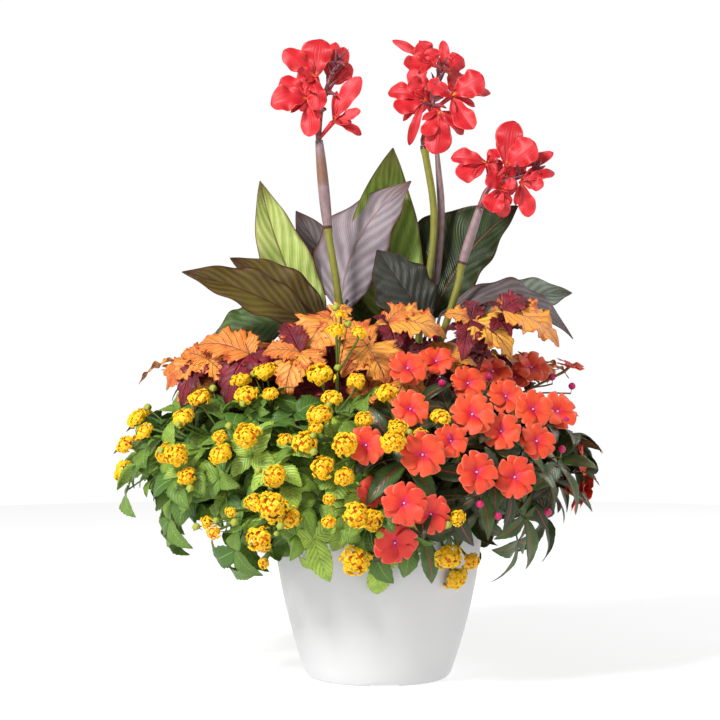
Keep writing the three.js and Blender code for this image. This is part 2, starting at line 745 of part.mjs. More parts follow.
// Where each plant's stem leaves the soil, as an angle round the pot.
const IMPATIENS_PLANTS = [308, 345, 45];
const LANTANA_PLANTS = [200, 243, 277, 132];
const PLANT_R = 122;
const PLANT_STEM_R = 4.5;

// The flowers of one spray: where each stands, the way it looks and its size.
function flowersOf(spray, kind) {
  const flat = kind === "impatiens";
  const fromFront = (spray.seen ?? []).map(([u, v, size, y, turn]) => {
    const at = y === undefined ? onMound(FLOWER_MOUND, u, v) : seen(u, v, y);
    const width = (size * MM_PER_PIXEL * (at.y - EYE.y)) / -EYE.y;
    return { at, width, toEye: turn === "side" ? 0 : 1 };
  });
  const fromBack = (spray.round ?? []).map(([degrees, z, width]) => ({
    at: roundMound(FLOWER_MOUND, degrees, z),
    width,
    toEye: 0,
  }));
  return [...fromFront, ...fromBack].map(({ at, width, toEye }) => {
    const count = flowersSet.length;
    const sway = vec(draw(count, 0) - 0.5, draw(count, 1) - 0.5, draw(count, 2) - 0.5);
    const axis = outward(FLOWER_MOUND, at).multiplyScalar(flat ? 0.6 : 0.75);
    axis.add(vec(0, flat ? -0.75 * toEye : -0.15 * toEye, flat ? 0.1 : 0.4));
    axis.addScaledVector(sway, 0.3).normalize();
    return settle({
      at,
      axis,
      radius: width / 2,
      depth: flat ? 6 : 0.45 * width,
      spin: draw(count, 3) * 2 * Math.PI,
    });
  });
}

// A flower and its stalk are one round form: petalRows say where the points of each row of the flower lie,
// as [share of the radius, share of the rise], by their place in the ring. Below it the points
// draw together on the three corners of the stalk, which runs straight down to the spray's joint.
const STALK_R = 1.3;
const KNOT_R = 5;

function flowerOnStalk({ at, axis, radius, spin }, joint, { around, crown, rowsOf, thick, neck }) {
  const rows = rowsOf.length + (thick ? 2 : 1);
  const turn = new THREE.Quaternion()
    .setFromUnitVectors(UP, axis)
    .multiply(new THREE.Quaternion().setFromAxisAngle(UP, spin));
  const flowerPoint = (angle, r, z) =>
    vec(r * Math.cos(angle), r * Math.sin(angle), z).applyQuaternion(turn).add(at);
  const down = joint.clone().sub(at).normalize();
  const end = joint.clone().addScaledVector(down, -1.5);
  const form = new THREE.CylinderGeometry(1, 1, 1, around, rows);
  return moulded(form, rows, around, (row, k, onAxis) => {
    const angle = (k / around) * 2 * Math.PI;
    if (row < rows - 1) {
      if (onAxis) return flowerPoint(0, 0, crown * radius);
      const [share, rise] = rowsOf[Math.min(row, rowsOf.length - 1)][k % rowsOf[0].length];
      const below = row >= rowsOf.length ? thick : 0;
      return flowerPoint(angle, share * radius, rise * radius - below);
    }
    const corner = (Math.floor((k * 3) / around) + 0.5) * THIRD_TURN;
    const top = flowerPoint(corner, STALK_R, neck * radius - 2 - thick);
    if (row === rows - 1) return top;
    if (onAxis) return end;
    const side = top.sub(flowerPoint(0, 0, neck * radius - 2 - thick));
    return side.addScaledVector(down, -side.dot(down)).setLength(STALK_R).add(end);
  });
}

// Five broad petals, each over the next, round a sunken throat.
const IMPATIENS_FORM = {
  around: 15,
  crown: -0.12,
  rowsOf: [[[0.68, -0.03], [1, 0.13], [0.98, 0.01]]],
  thick: 1,
  neck: -0.14,
};
// A dome of florets that stand out of it in two staggered rings round a raised middle.
const LANTANA_FORM = {
  around: 8,
  crown: 0.6,
  rowsOf: [
    [[0.74, 0.48], [0.5, 0.3]],
    [[0.78, -0.1], [1, 0.04]],
  ],
  thick: 0,
  neck: -0.3,
};

// A spray: flower stalks that fan out of one joint, deep in the mound, each with its flower.
function makeSpray(flowers, core, kind) {
  const form = kind === "impatiens" ? IMPATIENS_FORM : LANTANA_FORM;
  const middle = flowers
    .reduce((sum, flower) => sum.add(flower.at), vec(0, 0, 0))
    .divideScalar(flowers.length);
  const inward = core.clone().sub(middle);
  const depth = THREE.MathUtils.clamp(0.36 * inward.length(), 46, 86);
  inward.normalize();
  const aside = inward.clone().cross(UP).normalize();
  let spray;
  for (let attempt = 0; attempt < 36; attempt++) {
    const dip = [0, 0.7, 1.6][Math.floor(attempt / 3) % 3];
    const deeper = inward.clone().add(vec(0, 0, -dip)).normalize();
    const joint = middle.clone().addScaledVector(deeper, depth - 8 * (dip > 0));
    joint.addScaledVector(aside, [0, 10, -10][attempt % 3]);
    if (attempt % 9 === 8) {
      flowers.forEach((flower) => flower.at.addScaledVector(flower.axis, 6));
    }
    // A corner of the knot points at the end of the branch.
    const knot = new THREE.OctahedronGeometry(KNOT_R).applyQuaternion(
      new THREE.Quaternion().setFromUnitVectors(UP, deeper),
    );
    const made = join([
      solid(knot.translate(joint.x, joint.y, joint.z)),
      ...flowers.map((flower) => flowerOnStalk(flower, joint, form)),
    ]);
    spray = { made, joint, inward: deeper };
    if (!meets(made)) break;
  }
  stand(spray.made);
  return spray;
}

// Leafy shoots end near the mound's surface, evenly spread over it below the coleus.
function shootPlaces(count, keep) {
  const places = [];
  for (let i = 0; i < count; i++) {
    const high = 1 - (2 * (i + 0.5)) / count;
    if (high > 0.72 || high < -0.92) continue;
    const flat = Math.sqrt(1 - high * high);
    const angle = i * 2.39996;
    const dir = vec(flat * Math.cos(angle), flat * Math.sin(angle), high);
    const sunk = (Math.sin(angle) < -0.2 ? 0.86 : 0.9) + 0.06 * draw(i, 4);
    const at = dir.clone().multiply(FLOWER_MOUND.radii).multiplyScalar(sunk);
    at.add(FLOWER_MOUND.centre);
    if (keep(at)) places.push({ at, i });
  }
  return places;
}

function nearestFlower(at) {
  return Math.min(...flowersSet.map((flower) => flower.at.distanceTo(at) - flower.radius));
}

// A plant: a stem out of the soil, branches over the rim to its sprays, and shoots that end in leaves.
function makePlant({ root, sprays, shoots, leafiness }) {
  const foot = vec(root.x, root.y, SOIL_TOP - ROOT_DEPTH);
  const fork = vec(root.x, root.y, SOIL_TOP + 26);
  const outwards = vec(root.x, root.y, 0).normalize();
  const parts = [tube([foot, fork.clone().add(vec(0, 0, 5))], PLANT_STEM_R, 6, 1)];
  const joints = [];
  for (const { joint, inward } of sprays) {
    const end = joint.clone().addScaledVector(inward, KNOT_R + GAP);
    const before = end.clone().addScaledVector(inward, 14);
    const aside = inward.clone().cross(UP).normalize();
    for (let attempt = 0; attempt < 15; attempt++) {
      const over = mix(fork, end, 0.4).addScaledVector(outwards, 4);
      over.z = Math.max(over.z, POT.height + 42) + 12 * Math.floor(attempt / 3);
      over.addScaledVector(aside, [0, 12, -12][attempt % 3]);
      const way = new THREE.CatmullRomCurve3([fork, over, before, end], false, "centripetal");
      const branch = tube([fork, over, before, end], 3, 3, 3);
      if (meets(branch) && attempt < 14) continue;
      parts.push(branch);
      joints.push(...[0.36, 0.5, 0.64, 0.78, 0.92].map((t) => way.getPoint(t)));
      break;
    }
  }
  parts.forEach(stand);
  for (const { at, i } of shoots) {
    const from = joints.reduce((a, b) => (a.distanceTo(at) < b.distanceTo(at) ? a : b));
    const made = leafShoot({ at, i, from, ...leafiness });
    if (made) parts.push(made);
  }
  return mainBody(join(parts));
}

// The edges of the two leaves: the lantana's is egg-shaped, the impatiens' narrow.
const LANTANA_LEAF = [[0.36, -0.95], [0.7, -0.72], [1, 0], [0.7, 0.72], [0.36, 0.95]];
const IMPATIENS_LEAF = [[0.48, -1], [1, 0], [0.48, 1]];

// A shoot whose leaves spread from its end, turned and shortened until it is clear, or none.
function leafShoot({ at, i, from, leaves, length, width, edge }) {
  const normal = outward(FLOWER_MOUND, at);
  const axis = normal.clone().multiplyScalar(0.8).add(vec(0, 0, 0.5)).normalize();
  const level = axis.clone().cross(vec(0.3, 0.2, -1)).normalize();
  for (let attempt = 0; attempt < 12; attempt++) {
    const size = 1 - 0.12 * Math.floor(attempt / 3);
    const middle = at.clone().addScaledVector(normal, -5 * (attempt % 4));
    const blades = Array.from({ length: leaves }, (_, j) => {
      const angle = draw(i, 5) * 6.28 + (j / leaves) * 2 * Math.PI + attempt * 0.5;
      const out = level.clone().applyAxisAngle(axis, angle).addScaledVector(axis, -0.12);
      out.add(vec(0, 0, -0.2));
      const share = size * (0.82 + 0.36 * draw(i * 5 + j, 6));
      return { tip: middle.clone().addScaledVector(out, length * share), width: width * share };
    });
    const ring = whorlRing({ middle, axis, blades, edge, notch: 4, lift: 0.09, fold: 0.2 });
    const clearOf = { middle, ring, axis, foot: mix(from, middle, 0.12), stalkR: 1.6 };
    if (whorlIsClear(clearOf)) {
      return stand(whorl({ middle, ring, axis, foot: from, stalkR: 1.3 }));
    }
  }
  return null;
}

// Each plant has its root as an angle round the pot, and two or three shoots: the shoot's end, and its
// leaves as [u, v of the tip, width in pixels].
const COLEUS_PLANTS = [
  {
    root: 196,
    shoots: [
      { end: [250, 354], leaves: [[195, 341, 32], [241, 330, 20], [224, 401, 30], [272, 378, 24]] },
      { end: [206, 358], leaves: [[163, 386, 26], [236, 386, 22], [178, 404, 20], [180, 352, 20]] },
    ],
  },
  {
    root: 238,
    shoots: [
      { end: [332, 318], leaves: [[301, 362, 44], [352, 306, 20], [344, 352, 26]] },
      { end: [300, 352], leaves: [[283, 319, 20], [262, 351, 24], [283, 398, 26], [324, 384, 24]] },
    ],
  },
  {
    root: 272,
    shoots: [
      { end: [367, 345], leaves: [[343, 322, 30], [341, 374, 30], [388, 381, 38]] },
      { end: [388, 322], leaves: [[448, 332, 36], [398, 350, 24], [414, 306, 24]] },
    ],
  },
  {
    root: 322,
    shoots: [
      { end: [470, 323], leaves: [[443, 316, 20], [514, 356, 38], [462, 360, 20], [476, 302, 18]] },
      { end: [501, 317], leaves: [[561, 347, 38], [529, 303, 22]] },
    ],
  },
];
// Behind, each shoot's end as its angle round the mound and its height.
const COLEUS_BACK_PLANTS = [
  { root: 122, shoots: [[112, 545], [150, 520], [176, 520]] },
  { root: 48, shoots: [[70, 545], [38, 525], [4, 520]] },
];
// The front leaves stay before the canna's stems.
const COLEUS_FRONT = -96;
const COLEUS_R = 84;
const COLEUS_STEM_R = 4;
// The edge of a coleus leaf, cut into coarse teeth.
const TOOTHED_LEAF = [
  [0.3, -1], [0.44, -0.74], [0.64, -0.84], [1, 0], [0.64, 0.84], [0.44, 0.74], [0.3, 1],
];

// A whorl looks outwards and up, and in front towards the viewer too.
function coleusAxis(end, towardsViewer) {
  return outward(COLEUS_MOUND, end).multiplyScalar(0.5).add(vec(0, towardsViewer, 0.45)).normalize();
}

// A coleus: a stem that forks below its leaves, and at the end of each branch a whorl of toothed leaves.
function makeColeus({ root, shoots }) {
  const foot = polar(COLEUS_R, root, SOIL_TOP - ROOT_DEPTH);
  const middle = shoots
    .reduce((sum, { end }) => sum.add(end), vec(0, 0, 0))
    .divideScalar(shoots.length);
  const fork = vec(0.55 * middle.x + 0.45 * foot.x, 0.55 * middle.y + 0.45 * foot.y, 430);
  const rise = foot.clone().setZ(SOIL_TOP + 45);
  const parts = [tube([foot, rise, fork], COLEUS_STEM_R, 4, 4)];
  for (const { end, axis, blades } of shoots) {
    let made;
    for (let attempt = 0; attempt < 12; attempt++) {
      const size = 1 - 0.06 * Math.floor(attempt / 4);
      const shift = axis.clone().multiplyScalar([0, 7, -7, 14, -14, 21, -21, 28][attempt % 8]);
      const at = end.clone().add(shift);
      const moved = blades.map(({ tip, width }) => ({
        tip: at.clone().addScaledVector(tip.clone().sub(end), size),
        width: width * size,
      }));
      const ring = whorlRing({
        middle: at, axis, blades: moved, edge: TOOTHED_LEAF, notch: 5, lift: 0.1, fold: 0.06,
      });
      const spec = { middle: at, ring, axis, foot: fork, stalkR: 2.4, neck: 4 };
      made = whorl(spec);
      if (whorlIsClear({ ...spec, foot: mix(fork, at, 0.1) })) break;
    }
    parts.push(made);
  }
  return mainBody(join(parts));
}

const planter = new THREE.Group();

// Puts a finished solid into its group as a mesh whose own origin is at its foot.
function add(group, name, made, colour, roughness = 0.6) {
  const { numProp, vertProperties, triVerts } = made.getMesh();
  const count = vertProperties.length / numProp;
  const points = new Float32Array(count * 3);
  for (let i = 0; i < count; i++) {
    points.set(vertProperties.subarray(i * numProp, i * numProp + 3), i * 3);
  }
  const geometry = new THREE.BufferGeometry()
    .setAttribute("position", new THREE.BufferAttribute(points, 3))
    .setIndex(new THREE.BufferAttribute(triVerts, 1));
  geometry.computeVertexNormals();
  const material = new THREE.MeshStandardMaterial({ color: COLOUR[colour], roughness, metalness: 0 });
  const mesh = new THREE.Mesh(geometry, material);
  mesh.name = name;
  group.add(mesh);
}

function groupNamed(name) {
  const group = new THREE.Group();
  group.name = name;
  planter.add(group);
  return group;
}

const two = (n) => String(n).padStart(2, "0");

const roots = [
  ...CANNA_STEMS.map(({ root }) => ({ x: root[0], y: root[1], radius: CANNA_STEM_R + 0.5 })),
  ...[...COLEUS_PLANTS, ...COLEUS_BACK_PLANTS].map(({ root }) => ({
    ...polar(COLEUS_R, root, 0),
    radius: COLEUS_STEM_R + 0.8,
  })),
  ...[...IMPATIENS_PLANTS, ...LANTANA_PLANTS].map((angle) => ({
    ...polar(PLANT_R, angle, 0),
    radius: PLANT_STEM_R,
  })),
];
const holder = groupNamed("holder");
add(holder, "pot", stand(makePot()), "pot", 0.4);
add(holder, "soil", stand(makeSoil(roots)), "soil", 1);

const canna = groupNamed("canna");
CANNA_HEADS.forEach((head, i) => {
  add(canna, `canna_bloom_${i + 1}`, stand(makeCannaHead(head, i)), "cannaBloom", 0.5);
});
CANNA_STEMS.forEach((_, i) => {
  add(canna, `canna_stem_${i + 1}`, stand(makeCannaStem(i)), "cannaStem", 0.5);
});
CANNA_LEAVES.forEach((leaf, i) => {
  add(canna, `canna_leaf_${two(i + 1)}`, stand(makeCannaLeaf(leaf)), leaf.colour, 0.45);
});

const coleus = groupNamed("coleus");
const beforeCanna = (u, v) => seen(u, v, Math.min(COLEUS_FRONT, onMound(COLEUS_MOUND, u, v).y));
const coleusFront = COLEUS_PLANTS.map(({ root, shoots }) => ({
  root,
  shoots: shoots.map(({ end, leaves }) => {
    const middle = beforeCanna(...end);
    const axis = coleusAxis(middle, -0.5);
    const blades = leaves.map(([u, v, width]) => ({
      tip: tipAt(u, v, middle.y, middle, axis, -0.25, 0.1),
      width: width * MM_PER_PIXEL,
    }));
    return { end: middle, axis, blades };
  }),
}));
const coleusBack = COLEUS_BACK_PLANTS.map(({ root, shoots }) => ({
  root,
  shoots: shoots.map(([angle, z]) => {
    const end = roundMound(COLEUS_MOUND, angle, z);
    const blades = [-75, 0, 75].map((turn, j) => {
      const size = 66 + 26 * draw(j, angle);
      const out = polar(size, angle + turn, -0.3 * size);
      return { tip: end.clone().add(out), width: 0.6 * size };
    });
    return { end, axis: coleusAxis(end, 0), blades };
  }),
}));
[...coleusFront, ...coleusBack].forEach((plant, i) => {
  add(coleus, `coleus_plant_${i + 1}`, stand(makeColeus(plant)), "coleus", 0.7);
});

const impatiens = groupNamed("impatiens");
const lantana = groupNamed("lantana");
const sprayOf = (kind, angles) => (spray) => {
  const root = polar(PLANT_R, angles[spray.plant], 0);
  const core = vec(root.x * 1.1, root.y * 1.1, 372);
  return { ...makeSpray(flowersOf(spray, kind), core, kind), plant: spray.plant };
};
const impatiensSprays = [...IMPATIENS_SPRAYS, ...IMPATIENS_BACK_SPRAYS].map(
  sprayOf("impatiens", IMPATIENS_PLANTS),
);
const lantanaSprays = [...LANTANA_SPRAYS, ...LANTANA_BACK_SPRAYS].map(
  sprayOf("lantana", LANTANA_PLANTS),
);
impatiensSprays.forEach(({ made }, i) => {
  add(impatiens, `impatiens_flowers_${two(i + 1)}`, made, "impatiens", 0.55);
});
lantanaSprays.forEach(({ made }, i) => {
  add(lantana, `lantana_flowers_${two(i + 1)}`, made, "lantana", 0.7);
});

// The lantana has the left of the mound and its lower front, the impatiens the right.
const mostlyLantana = (at) => at.x < 30 - 0.25 * (at.z - 300) || (at.y < 0 && at.x < 70 && at.z < 300);
const nearestPlant = (angles, at) => {
  const offs = angles.map((angle) => polar(PLANT_R, angle, 0).distanceTo(vec(at.x, at.y, 0)));
  return offs.indexOf(Math.min(...offs));
};
const lantanaShoots = shootPlaces(66, (at) => mostlyLantana(at) && nearestFlower(at) > -2);
const impatiensShoots = shootPlaces(58, (at) => !mostlyLantana(at) && nearestFlower(at) > -6);
LANTANA_PLANTS.forEach((angle, plant) => {
  const made = makePlant({
    root: polar(PLANT_R, angle, 0),
    sprays: lantanaSprays.filter((spray) => spray.plant === plant),
    shoots: lantanaShoots.filter(({ at }) => nearestPlant(LANTANA_PLANTS, at) === plant),
    leafiness: { leaves: 3, length: 54, width: 33, edge: LANTANA_LEAF },
  });
  add(lantana, `lantana_plant_${plant + 1}`, stand(made), "lantanaLeaf", 0.7);
});
IMPATIENS_PLANTS.forEach((angle, plant) => {
  const made = makePlant({
    root: polar(PLANT_R, angle, 0),
    sprays: impatiensSprays.filter((spray) => spray.plant === plant),
    shoots: impatiensShoots.filter(({ at }) => nearestPlant(IMPATIENS_PLANTS, at) === plant),
    leafiness: { leaves: 4, length: 72, width: 27, edge: IMPATIENS_LEAF },
  });
  add(impatiens, `impatiens_plant_${plant + 1}`, stand(made), "impatiensLeaf", 0.6);
});

export default planter;
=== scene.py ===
import math

import bmesh
import bpy
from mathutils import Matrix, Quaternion, Vector, kdtree, noise


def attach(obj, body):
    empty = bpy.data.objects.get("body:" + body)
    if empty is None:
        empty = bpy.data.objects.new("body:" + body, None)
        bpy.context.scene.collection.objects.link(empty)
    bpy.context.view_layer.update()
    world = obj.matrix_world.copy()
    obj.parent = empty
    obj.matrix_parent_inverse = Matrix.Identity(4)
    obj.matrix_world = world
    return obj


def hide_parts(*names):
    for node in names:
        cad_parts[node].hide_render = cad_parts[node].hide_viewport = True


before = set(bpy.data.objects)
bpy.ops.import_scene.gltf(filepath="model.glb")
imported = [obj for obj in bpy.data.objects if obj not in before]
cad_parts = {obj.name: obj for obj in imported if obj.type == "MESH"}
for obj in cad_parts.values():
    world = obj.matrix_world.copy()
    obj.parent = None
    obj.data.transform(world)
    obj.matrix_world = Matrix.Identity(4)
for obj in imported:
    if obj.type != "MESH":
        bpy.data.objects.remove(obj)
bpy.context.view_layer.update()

# View and light. The planter stands on a pale floor in soft daylight from above, and is seen from 3.5 m in
# front, a little above its flowers. Lengths are millimetres here and become metres in each finished mesh.
MM = 0.001
EYE = Vector((-30, -3500, 612))
MM_PER_PIXEL = 1.66
TILT = math.radians(1.44)
PICTURE_MIDDLE = 360
FOCAL = -EYE.y / MM_PER_PIXEL
SENSOR = 36

camera_lens = bpy.data.cameras.new("camera")
camera_lens.sensor_width = SENSOR
camera_lens.lens = FOCAL / (2 * PICTURE_MIDDLE) * SENSOR
camera = bpy.data.objects.new("camera", camera_lens)
camera.location = EYE * MM
camera.rotation_euler = (math.pi / 2 - TILT, 0, 0)
bpy.context.collection.objects.link(camera)
scene = bpy.context.scene
scene.camera = camera
scene.view_settings.view_transform = "Standard"

sky = bpy.data.worlds.new("sky")
sky.use_nodes = True
sky_nodes, sky_links = sky.node_tree.nodes, sky.node_tree.links
toward = sky_nodes.new("ShaderNodeTexCoord")
toward_up = sky_nodes.new("ShaderNodeSeparateXYZ")
dome = sky_nodes.new("ShaderNodeMapRange")
for key, value in {"From Min": 0.17, "From Max": 0.34, "To Min": 1.02, "To Max": 0.3}.items():
    dome.inputs[key].default_value = value
sky_nodes["Background"].inputs["Color"].default_value = (1, 1, 1, 1)
sky_links.new(toward.outputs["Generated"], toward_up.inputs["Vector"])
sky_links.new(toward_up.outputs["Z"], dome.inputs["Value"])
sky_links.new(dome.outputs["Result"], sky_nodes["Background"].inputs["Strength"])
scene.world = sky

LAMPS = {"key": ((-2.0, -2.5, 2.8), 0.8, 185), "rim": ((2.4, 1.2, 2.4), 1.2, 40)}
for lamp_name, (place, size, power) in LAMPS.items():
    lamp_data = bpy.data.lights.new(lamp_name, "AREA")
    lamp_data.size = size
    lamp_data.energy = power
    lamp = bpy.data.objects.new(lamp_name, lamp_data)
    lamp.location = place
    lamp.rotation_mode = "QUATERNION"
    lamp.rotation_quaternion = (Vector((0, 0, 0.5)) - Vector(place)).to_track_quat("-Z", "Y")
    bpy.context.collection.objects.link(lamp)


def colour(red, green, blue):
    """A colour as seen on a screen, from 0 to 255, as the shader takes it."""
    return tuple((part / 255) ** 2.2 for part in (red, green, blue))


class Wire:
    """A number or colour inside a finish. Sums on it add Math nodes."""

    def __init__(self, finish, socket):
        self.finish = finish
        self.socket = socket

    def sum_with(self, operation, first, second):
        return self.finish.node("ShaderNodeMath", {"operation": operation}, {0: first, 1: second})

    def __add__(self, other):
        return self.sum_with("ADD", self, other)

    def __radd__(self, other):
        return self.sum_with("ADD", other, self)

    def __sub__(self, other):
        return self.sum_with("SUBTRACT", self, other)

    def __rsub__(self, other):
        return self.sum_with("SUBTRACT", other, self)

    def __mul__(self, other):
        return self.sum_with("MULTIPLY", self, other)

    def __rmul__(self, other):
        return self.sum_with("MULTIPLY", other, self)

    def __pow__(self, other):
        return self.sum_with("POWER", self, other)

    def sine(self):
        return self.finish.node("ShaderNodeMath", {"operation": "SINE"}, {0: self})

    def size(self):
        return self.finish.node("ShaderNodeMath", {"operation": "ABSOLUTE"}, {0: self})

    def between(self, low, high):
        """0 at low and 1 at high, smoothly, and held outside."""
        ends = {"Value": self, "From Min": low, "From Max": high}
        return self.finish.node("ShaderNodeMapRange", {"interpolation_type": "SMOOTHSTEP"}, ends)


class Finish:
    """A material for one kind of surface, wired from its nodes."""

    def __init__(self, name, roughness):
        self.material = bpy.data.materials.new(name)
        self.material.use_nodes = True
        self.tree = self.material.node_tree
        self.surface = self.tree.nodes["Principled BSDF"]
        self.set("Roughness", roughness)

    def plug(self, value, socket):
        if isinstance(value, Wire):
            self.tree.links.new(value.socket, socket)
        elif socket.type == "RGBA":
            socket.default_value = (*value, 1)
        else:
            socket.default_value = value

    def node(self, kind, settings=None, sockets=None, out=0):
        made = self.tree.nodes.new(kind)
        for key, value in (settings or {}).items():
            setattr(made, key, value)
        for key, value in (sockets or {}).items():
            self.plug(value, made.inputs[key])
        return Wire(self, made.outputs[out])

    def set(self, socket, value):
        self.plug(value, self.surface.inputs[socket])

    def mix(self, share, first, second):
        return self.node("ShaderNodeMix", {"data_type": "RGBA"}, {0: share, 6: first, 7: second}, 2)

    def place(self):
        return self.node("ShaderNodeTexCoord", out="Object")

    def across_and_along(self):
        """On a blade: 0 at the rib to 1 at its edges, and 0 at its root to 1 at its tip."""
        uv = self.node("ShaderNodeTexCoord", out="UV")
        parts = {"Vector": uv}
        side = self.node("ShaderNodeSeparateXYZ", sockets=parts, out="X")
        along = self.node("ShaderNodeSeparateXYZ", sockets=parts, out="Y")
        return (side * 2 - 1).size(), along

    def grain(self, scale, detail=4, vector=None, roughness=0.55):
        """Cloudy noise from 0 to 1, with scale features to a metre."""
        sockets = {"Vector": vector or self.place(), "Scale": scale, "Detail": detail}
        return self.node("ShaderNodeTexNoise", sockets={**sockets, "Roughness": roughness})

    def streaks(self, lengthwise, crosswise, detail=2):
        """Noise drawn out along a blade."""
        uv = self.node("ShaderNodeTexCoord", out="UV")
        stretched = self.node(
            "ShaderNodeMapping", sockets={"Vector": uv, "Scale": (crosswise, lengthwise, 1)}
        )
        return self.grain(1, detail, stretched)

    def tint(self):
        """Each leaf's or petal's own number from 0 to 1."""
        return self.node("ShaderNodeAttribute", {"attribute_name": "tint"}, out="Fac")

    def relief(self, height, depth, strength=1.0):
        sockets = {"Height": height, "Distance": depth * MM, "Strength": strength}
        self.set("Normal", self.node("ShaderNodeBump", sockets=sockets, out="Normal"))


def new_form():
    """An empty mesh that keeps a map of each blade and a number for each leaf or petal."""
    form = bmesh.new()
    form.loops.layers.uv.new("UVMap")
    form.verts.layers.float.new("tint")
    return form


def put_up(name, form, finish, nodes, thickness=None):
    """Makes the form a piece of the planter, which stands for these solids."""
    bmesh.ops.scale(form, vec=(MM, MM, MM), verts=form.verts)
    for face in form.faces:
        face.smooth = True
    mesh = bpy.data.meshes.new(name)
    form.to_mesh(mesh)
    form.free()
    mesh.materials.append(finish.material)
    piece = bpy.data.objects.new(name, mesh)
    bpy.context.collection.objects.link(piece)
    if thickness:
        wall = piece.modifiers.new("thickness", "SOLIDIFY")
        wall.thickness = thickness * MM
        wall.offset = 0
    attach(piece, "root")
    if nodes:
        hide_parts(*nodes)
    return piece


floor_form = new_form()
bmesh.ops.create_circle(floor_form, cap_ends=True, segments=64, radius=3.2)
floor_mesh = bpy.data.meshes.new("floor")
floor_form.to_mesh(floor_mesh)
floor_form.free()
floor_finish = Finish("pale floor", 0.9)
floor_finish.set("Base Color", (0.56, 0.56, 0.56))
floor_finish.set("Emission Color", (1, 1, 1))
floor_finish.set("Emission Strength", 0.58)
floor_mesh.materials.append(floor_finish.material)
floor = bpy.data.objects.new("floor", floor_mesh)
bpy.context.collection.objects.link(floor)

# Pot. A round tapered pot of white satin plastic, moulded in one with its foot ring, whose four shallow
# notches let water run off. Its outline is turned round the axis, and three drain holes are bored in its
# floor.
POT_RIM_R, POT_FOOT_R, POT_HEIGHT, POT_WALL, POT_CURVE = 175, 119, 294, 4, 1.9
POT_SIDES = 120
FOOT_RING = {"outer": 112, "inner": 98, "pad": 50, "recess": 4.5, "floor": 9}
NOTCHES = {"count": 4, "width": 47, "height": 3.4, "turn": 4.5}
DRAINS = {"count": 3, "radius": 6, "at": 74}


def pot_radius(z):
    return POT_RIM_R - (POT_RIM_R - POT_FOOT_R) * (1 - z / POT_HEIGHT) ** POT_CURVE


def turn_outline(form, outline, sides):
    """Turns an outline of (radius, height), which starts and ends on the axis, round it."""
    verts = [form.verts.new((radius, 0, z)) for radius, z in outline]
    edges = [form.edges.new(pair) for pair in zip(verts, verts[1:])]
    bmesh.ops.spin(
        form, geom=verts + edges, axis=(0, 0, 1), cent=(0, 0, 0), steps=sides, angle=2 * math.pi,
        use_merge=True,
    )
    bmesh.ops.remove_doubles(form, verts=form.verts, dist=1e-3)
    bmesh.ops.recalc_face_normals(form, faces=form.faces)


outer_heights = [8 + 12 * i for i in range(24)]
inner_heights = [POT_HEIGHT - 6 - 18 * i for i in range(16)]
pot_form = new_form()
turn_outline(
    pot_form,
    [
        (0, 0), (FOOT_RING["pad"], 0), (FOOT_RING["pad"] + 2, FOOT_RING["recess"]),
        (FOOT_RING["inner"] - 2, FOOT_RING["recess"]), (FOOT_RING["inner"], 0), (FOOT_RING["outer"], 0),
        (FOOT_RING["outer"] + 4.5, 0.8), (POT_FOOT_R - 0.6, 3.4),
        *[(pot_radius(z), z) for z in outer_heights],
        (POT_RIM_R, POT_HEIGHT - 2), (POT_RIM_R - 0.5, POT_HEIGHT - 0.7), (POT_RIM_R - 1.7, POT_HEIGHT),
        (POT_RIM_R - 3, POT_HEIGHT - 0.3), (POT_RIM_R - POT_WALL, POT_HEIGHT - 1.6),
        *[(pot_radius(z) - POT_WALL, z) for z in inner_heights],
        (FOOT_RING["outer"] - 2, FOOT_RING["floor"]), (0, FOOT_RING["floor"]),
    ],
    POT_SIDES,
)
for vert in pot_form.verts:
    low = vert.co.z < NOTCHES["height"] and vert.co.xy.length > FOOT_RING["inner"] - 1
    for i in range(NOTCHES["count"]):
        way = math.radians(NOTCHES["turn"] + i * 360 / NOTCHES["count"])
        beside = abs(vert.co.y * math.cos(way) - vert.co.x * math.sin(way))
        ahead = vert.co.x * math.cos(way) + vert.co.y * math.sin(way)
        if low and ahead > 0 and beside < NOTCHES["width"] / 2:
            vert.co.z = NOTCHES["height"] + 0.02 * vert.co.z

pot_finish = Finish("white satin plastic", 0.36)
scuffs = pot_finish.grain(60, 6)
clouds = pot_finish.grain(5, 3)
pot_finish.set("Base Color", pot_finish.mix(clouds, (0.6, 0.6, 0.605), (0.66, 0.66, 0.66)))
pot_finish.set("Roughness", 0.34 + 0.14 * scuffs)
pot_finish.set("Specular IOR Level", 0.25)
pot_finish.relief(pot_finish.grain(900, 3) + 0.6 * pot_finish.grain(45, 2), 0.12, 0.5)
pot = put_up("pot_shell", pot_form, pot_finish, ["pot"])

drill_form = bmesh.new()
for i in range(DRAINS["count"]):
    way = math.radians(45 + i * 360 / DRAINS["count"])
    hole = bmesh.ops.create_cone(
        drill_form, cap_ends=True, segments=24, radius1=DRAINS["radius"] * MM,
        radius2=DRAINS["radius"] * MM, depth=0.05,
    )
    place = Vector((math.cos(way), math.sin(way), 0)) * DRAINS["at"] * MM
    bmesh.ops.translate(drill_form, verts=hole["verts"], vec=place)
drill_mesh = bpy.data.meshes.new("drill")
drill_form.to_mesh(drill_mesh)
drill_form.free()
drill = bpy.data.objects.new("drill", drill_mesh)
bpy.context.collection.objects.link(drill)
cut = pot.modifiers.new("drain holes", "BOOLEAN")
cut.operation = "DIFFERENCE"
cut.object = drill
bored = bpy.data.meshes.new_from_object(pot.evaluated_get(bpy.context.evaluated_depsgraph_get()))
pot.modifiers.remove(cut)
pot.data = bored
bpy.data.objects.remove(drill)

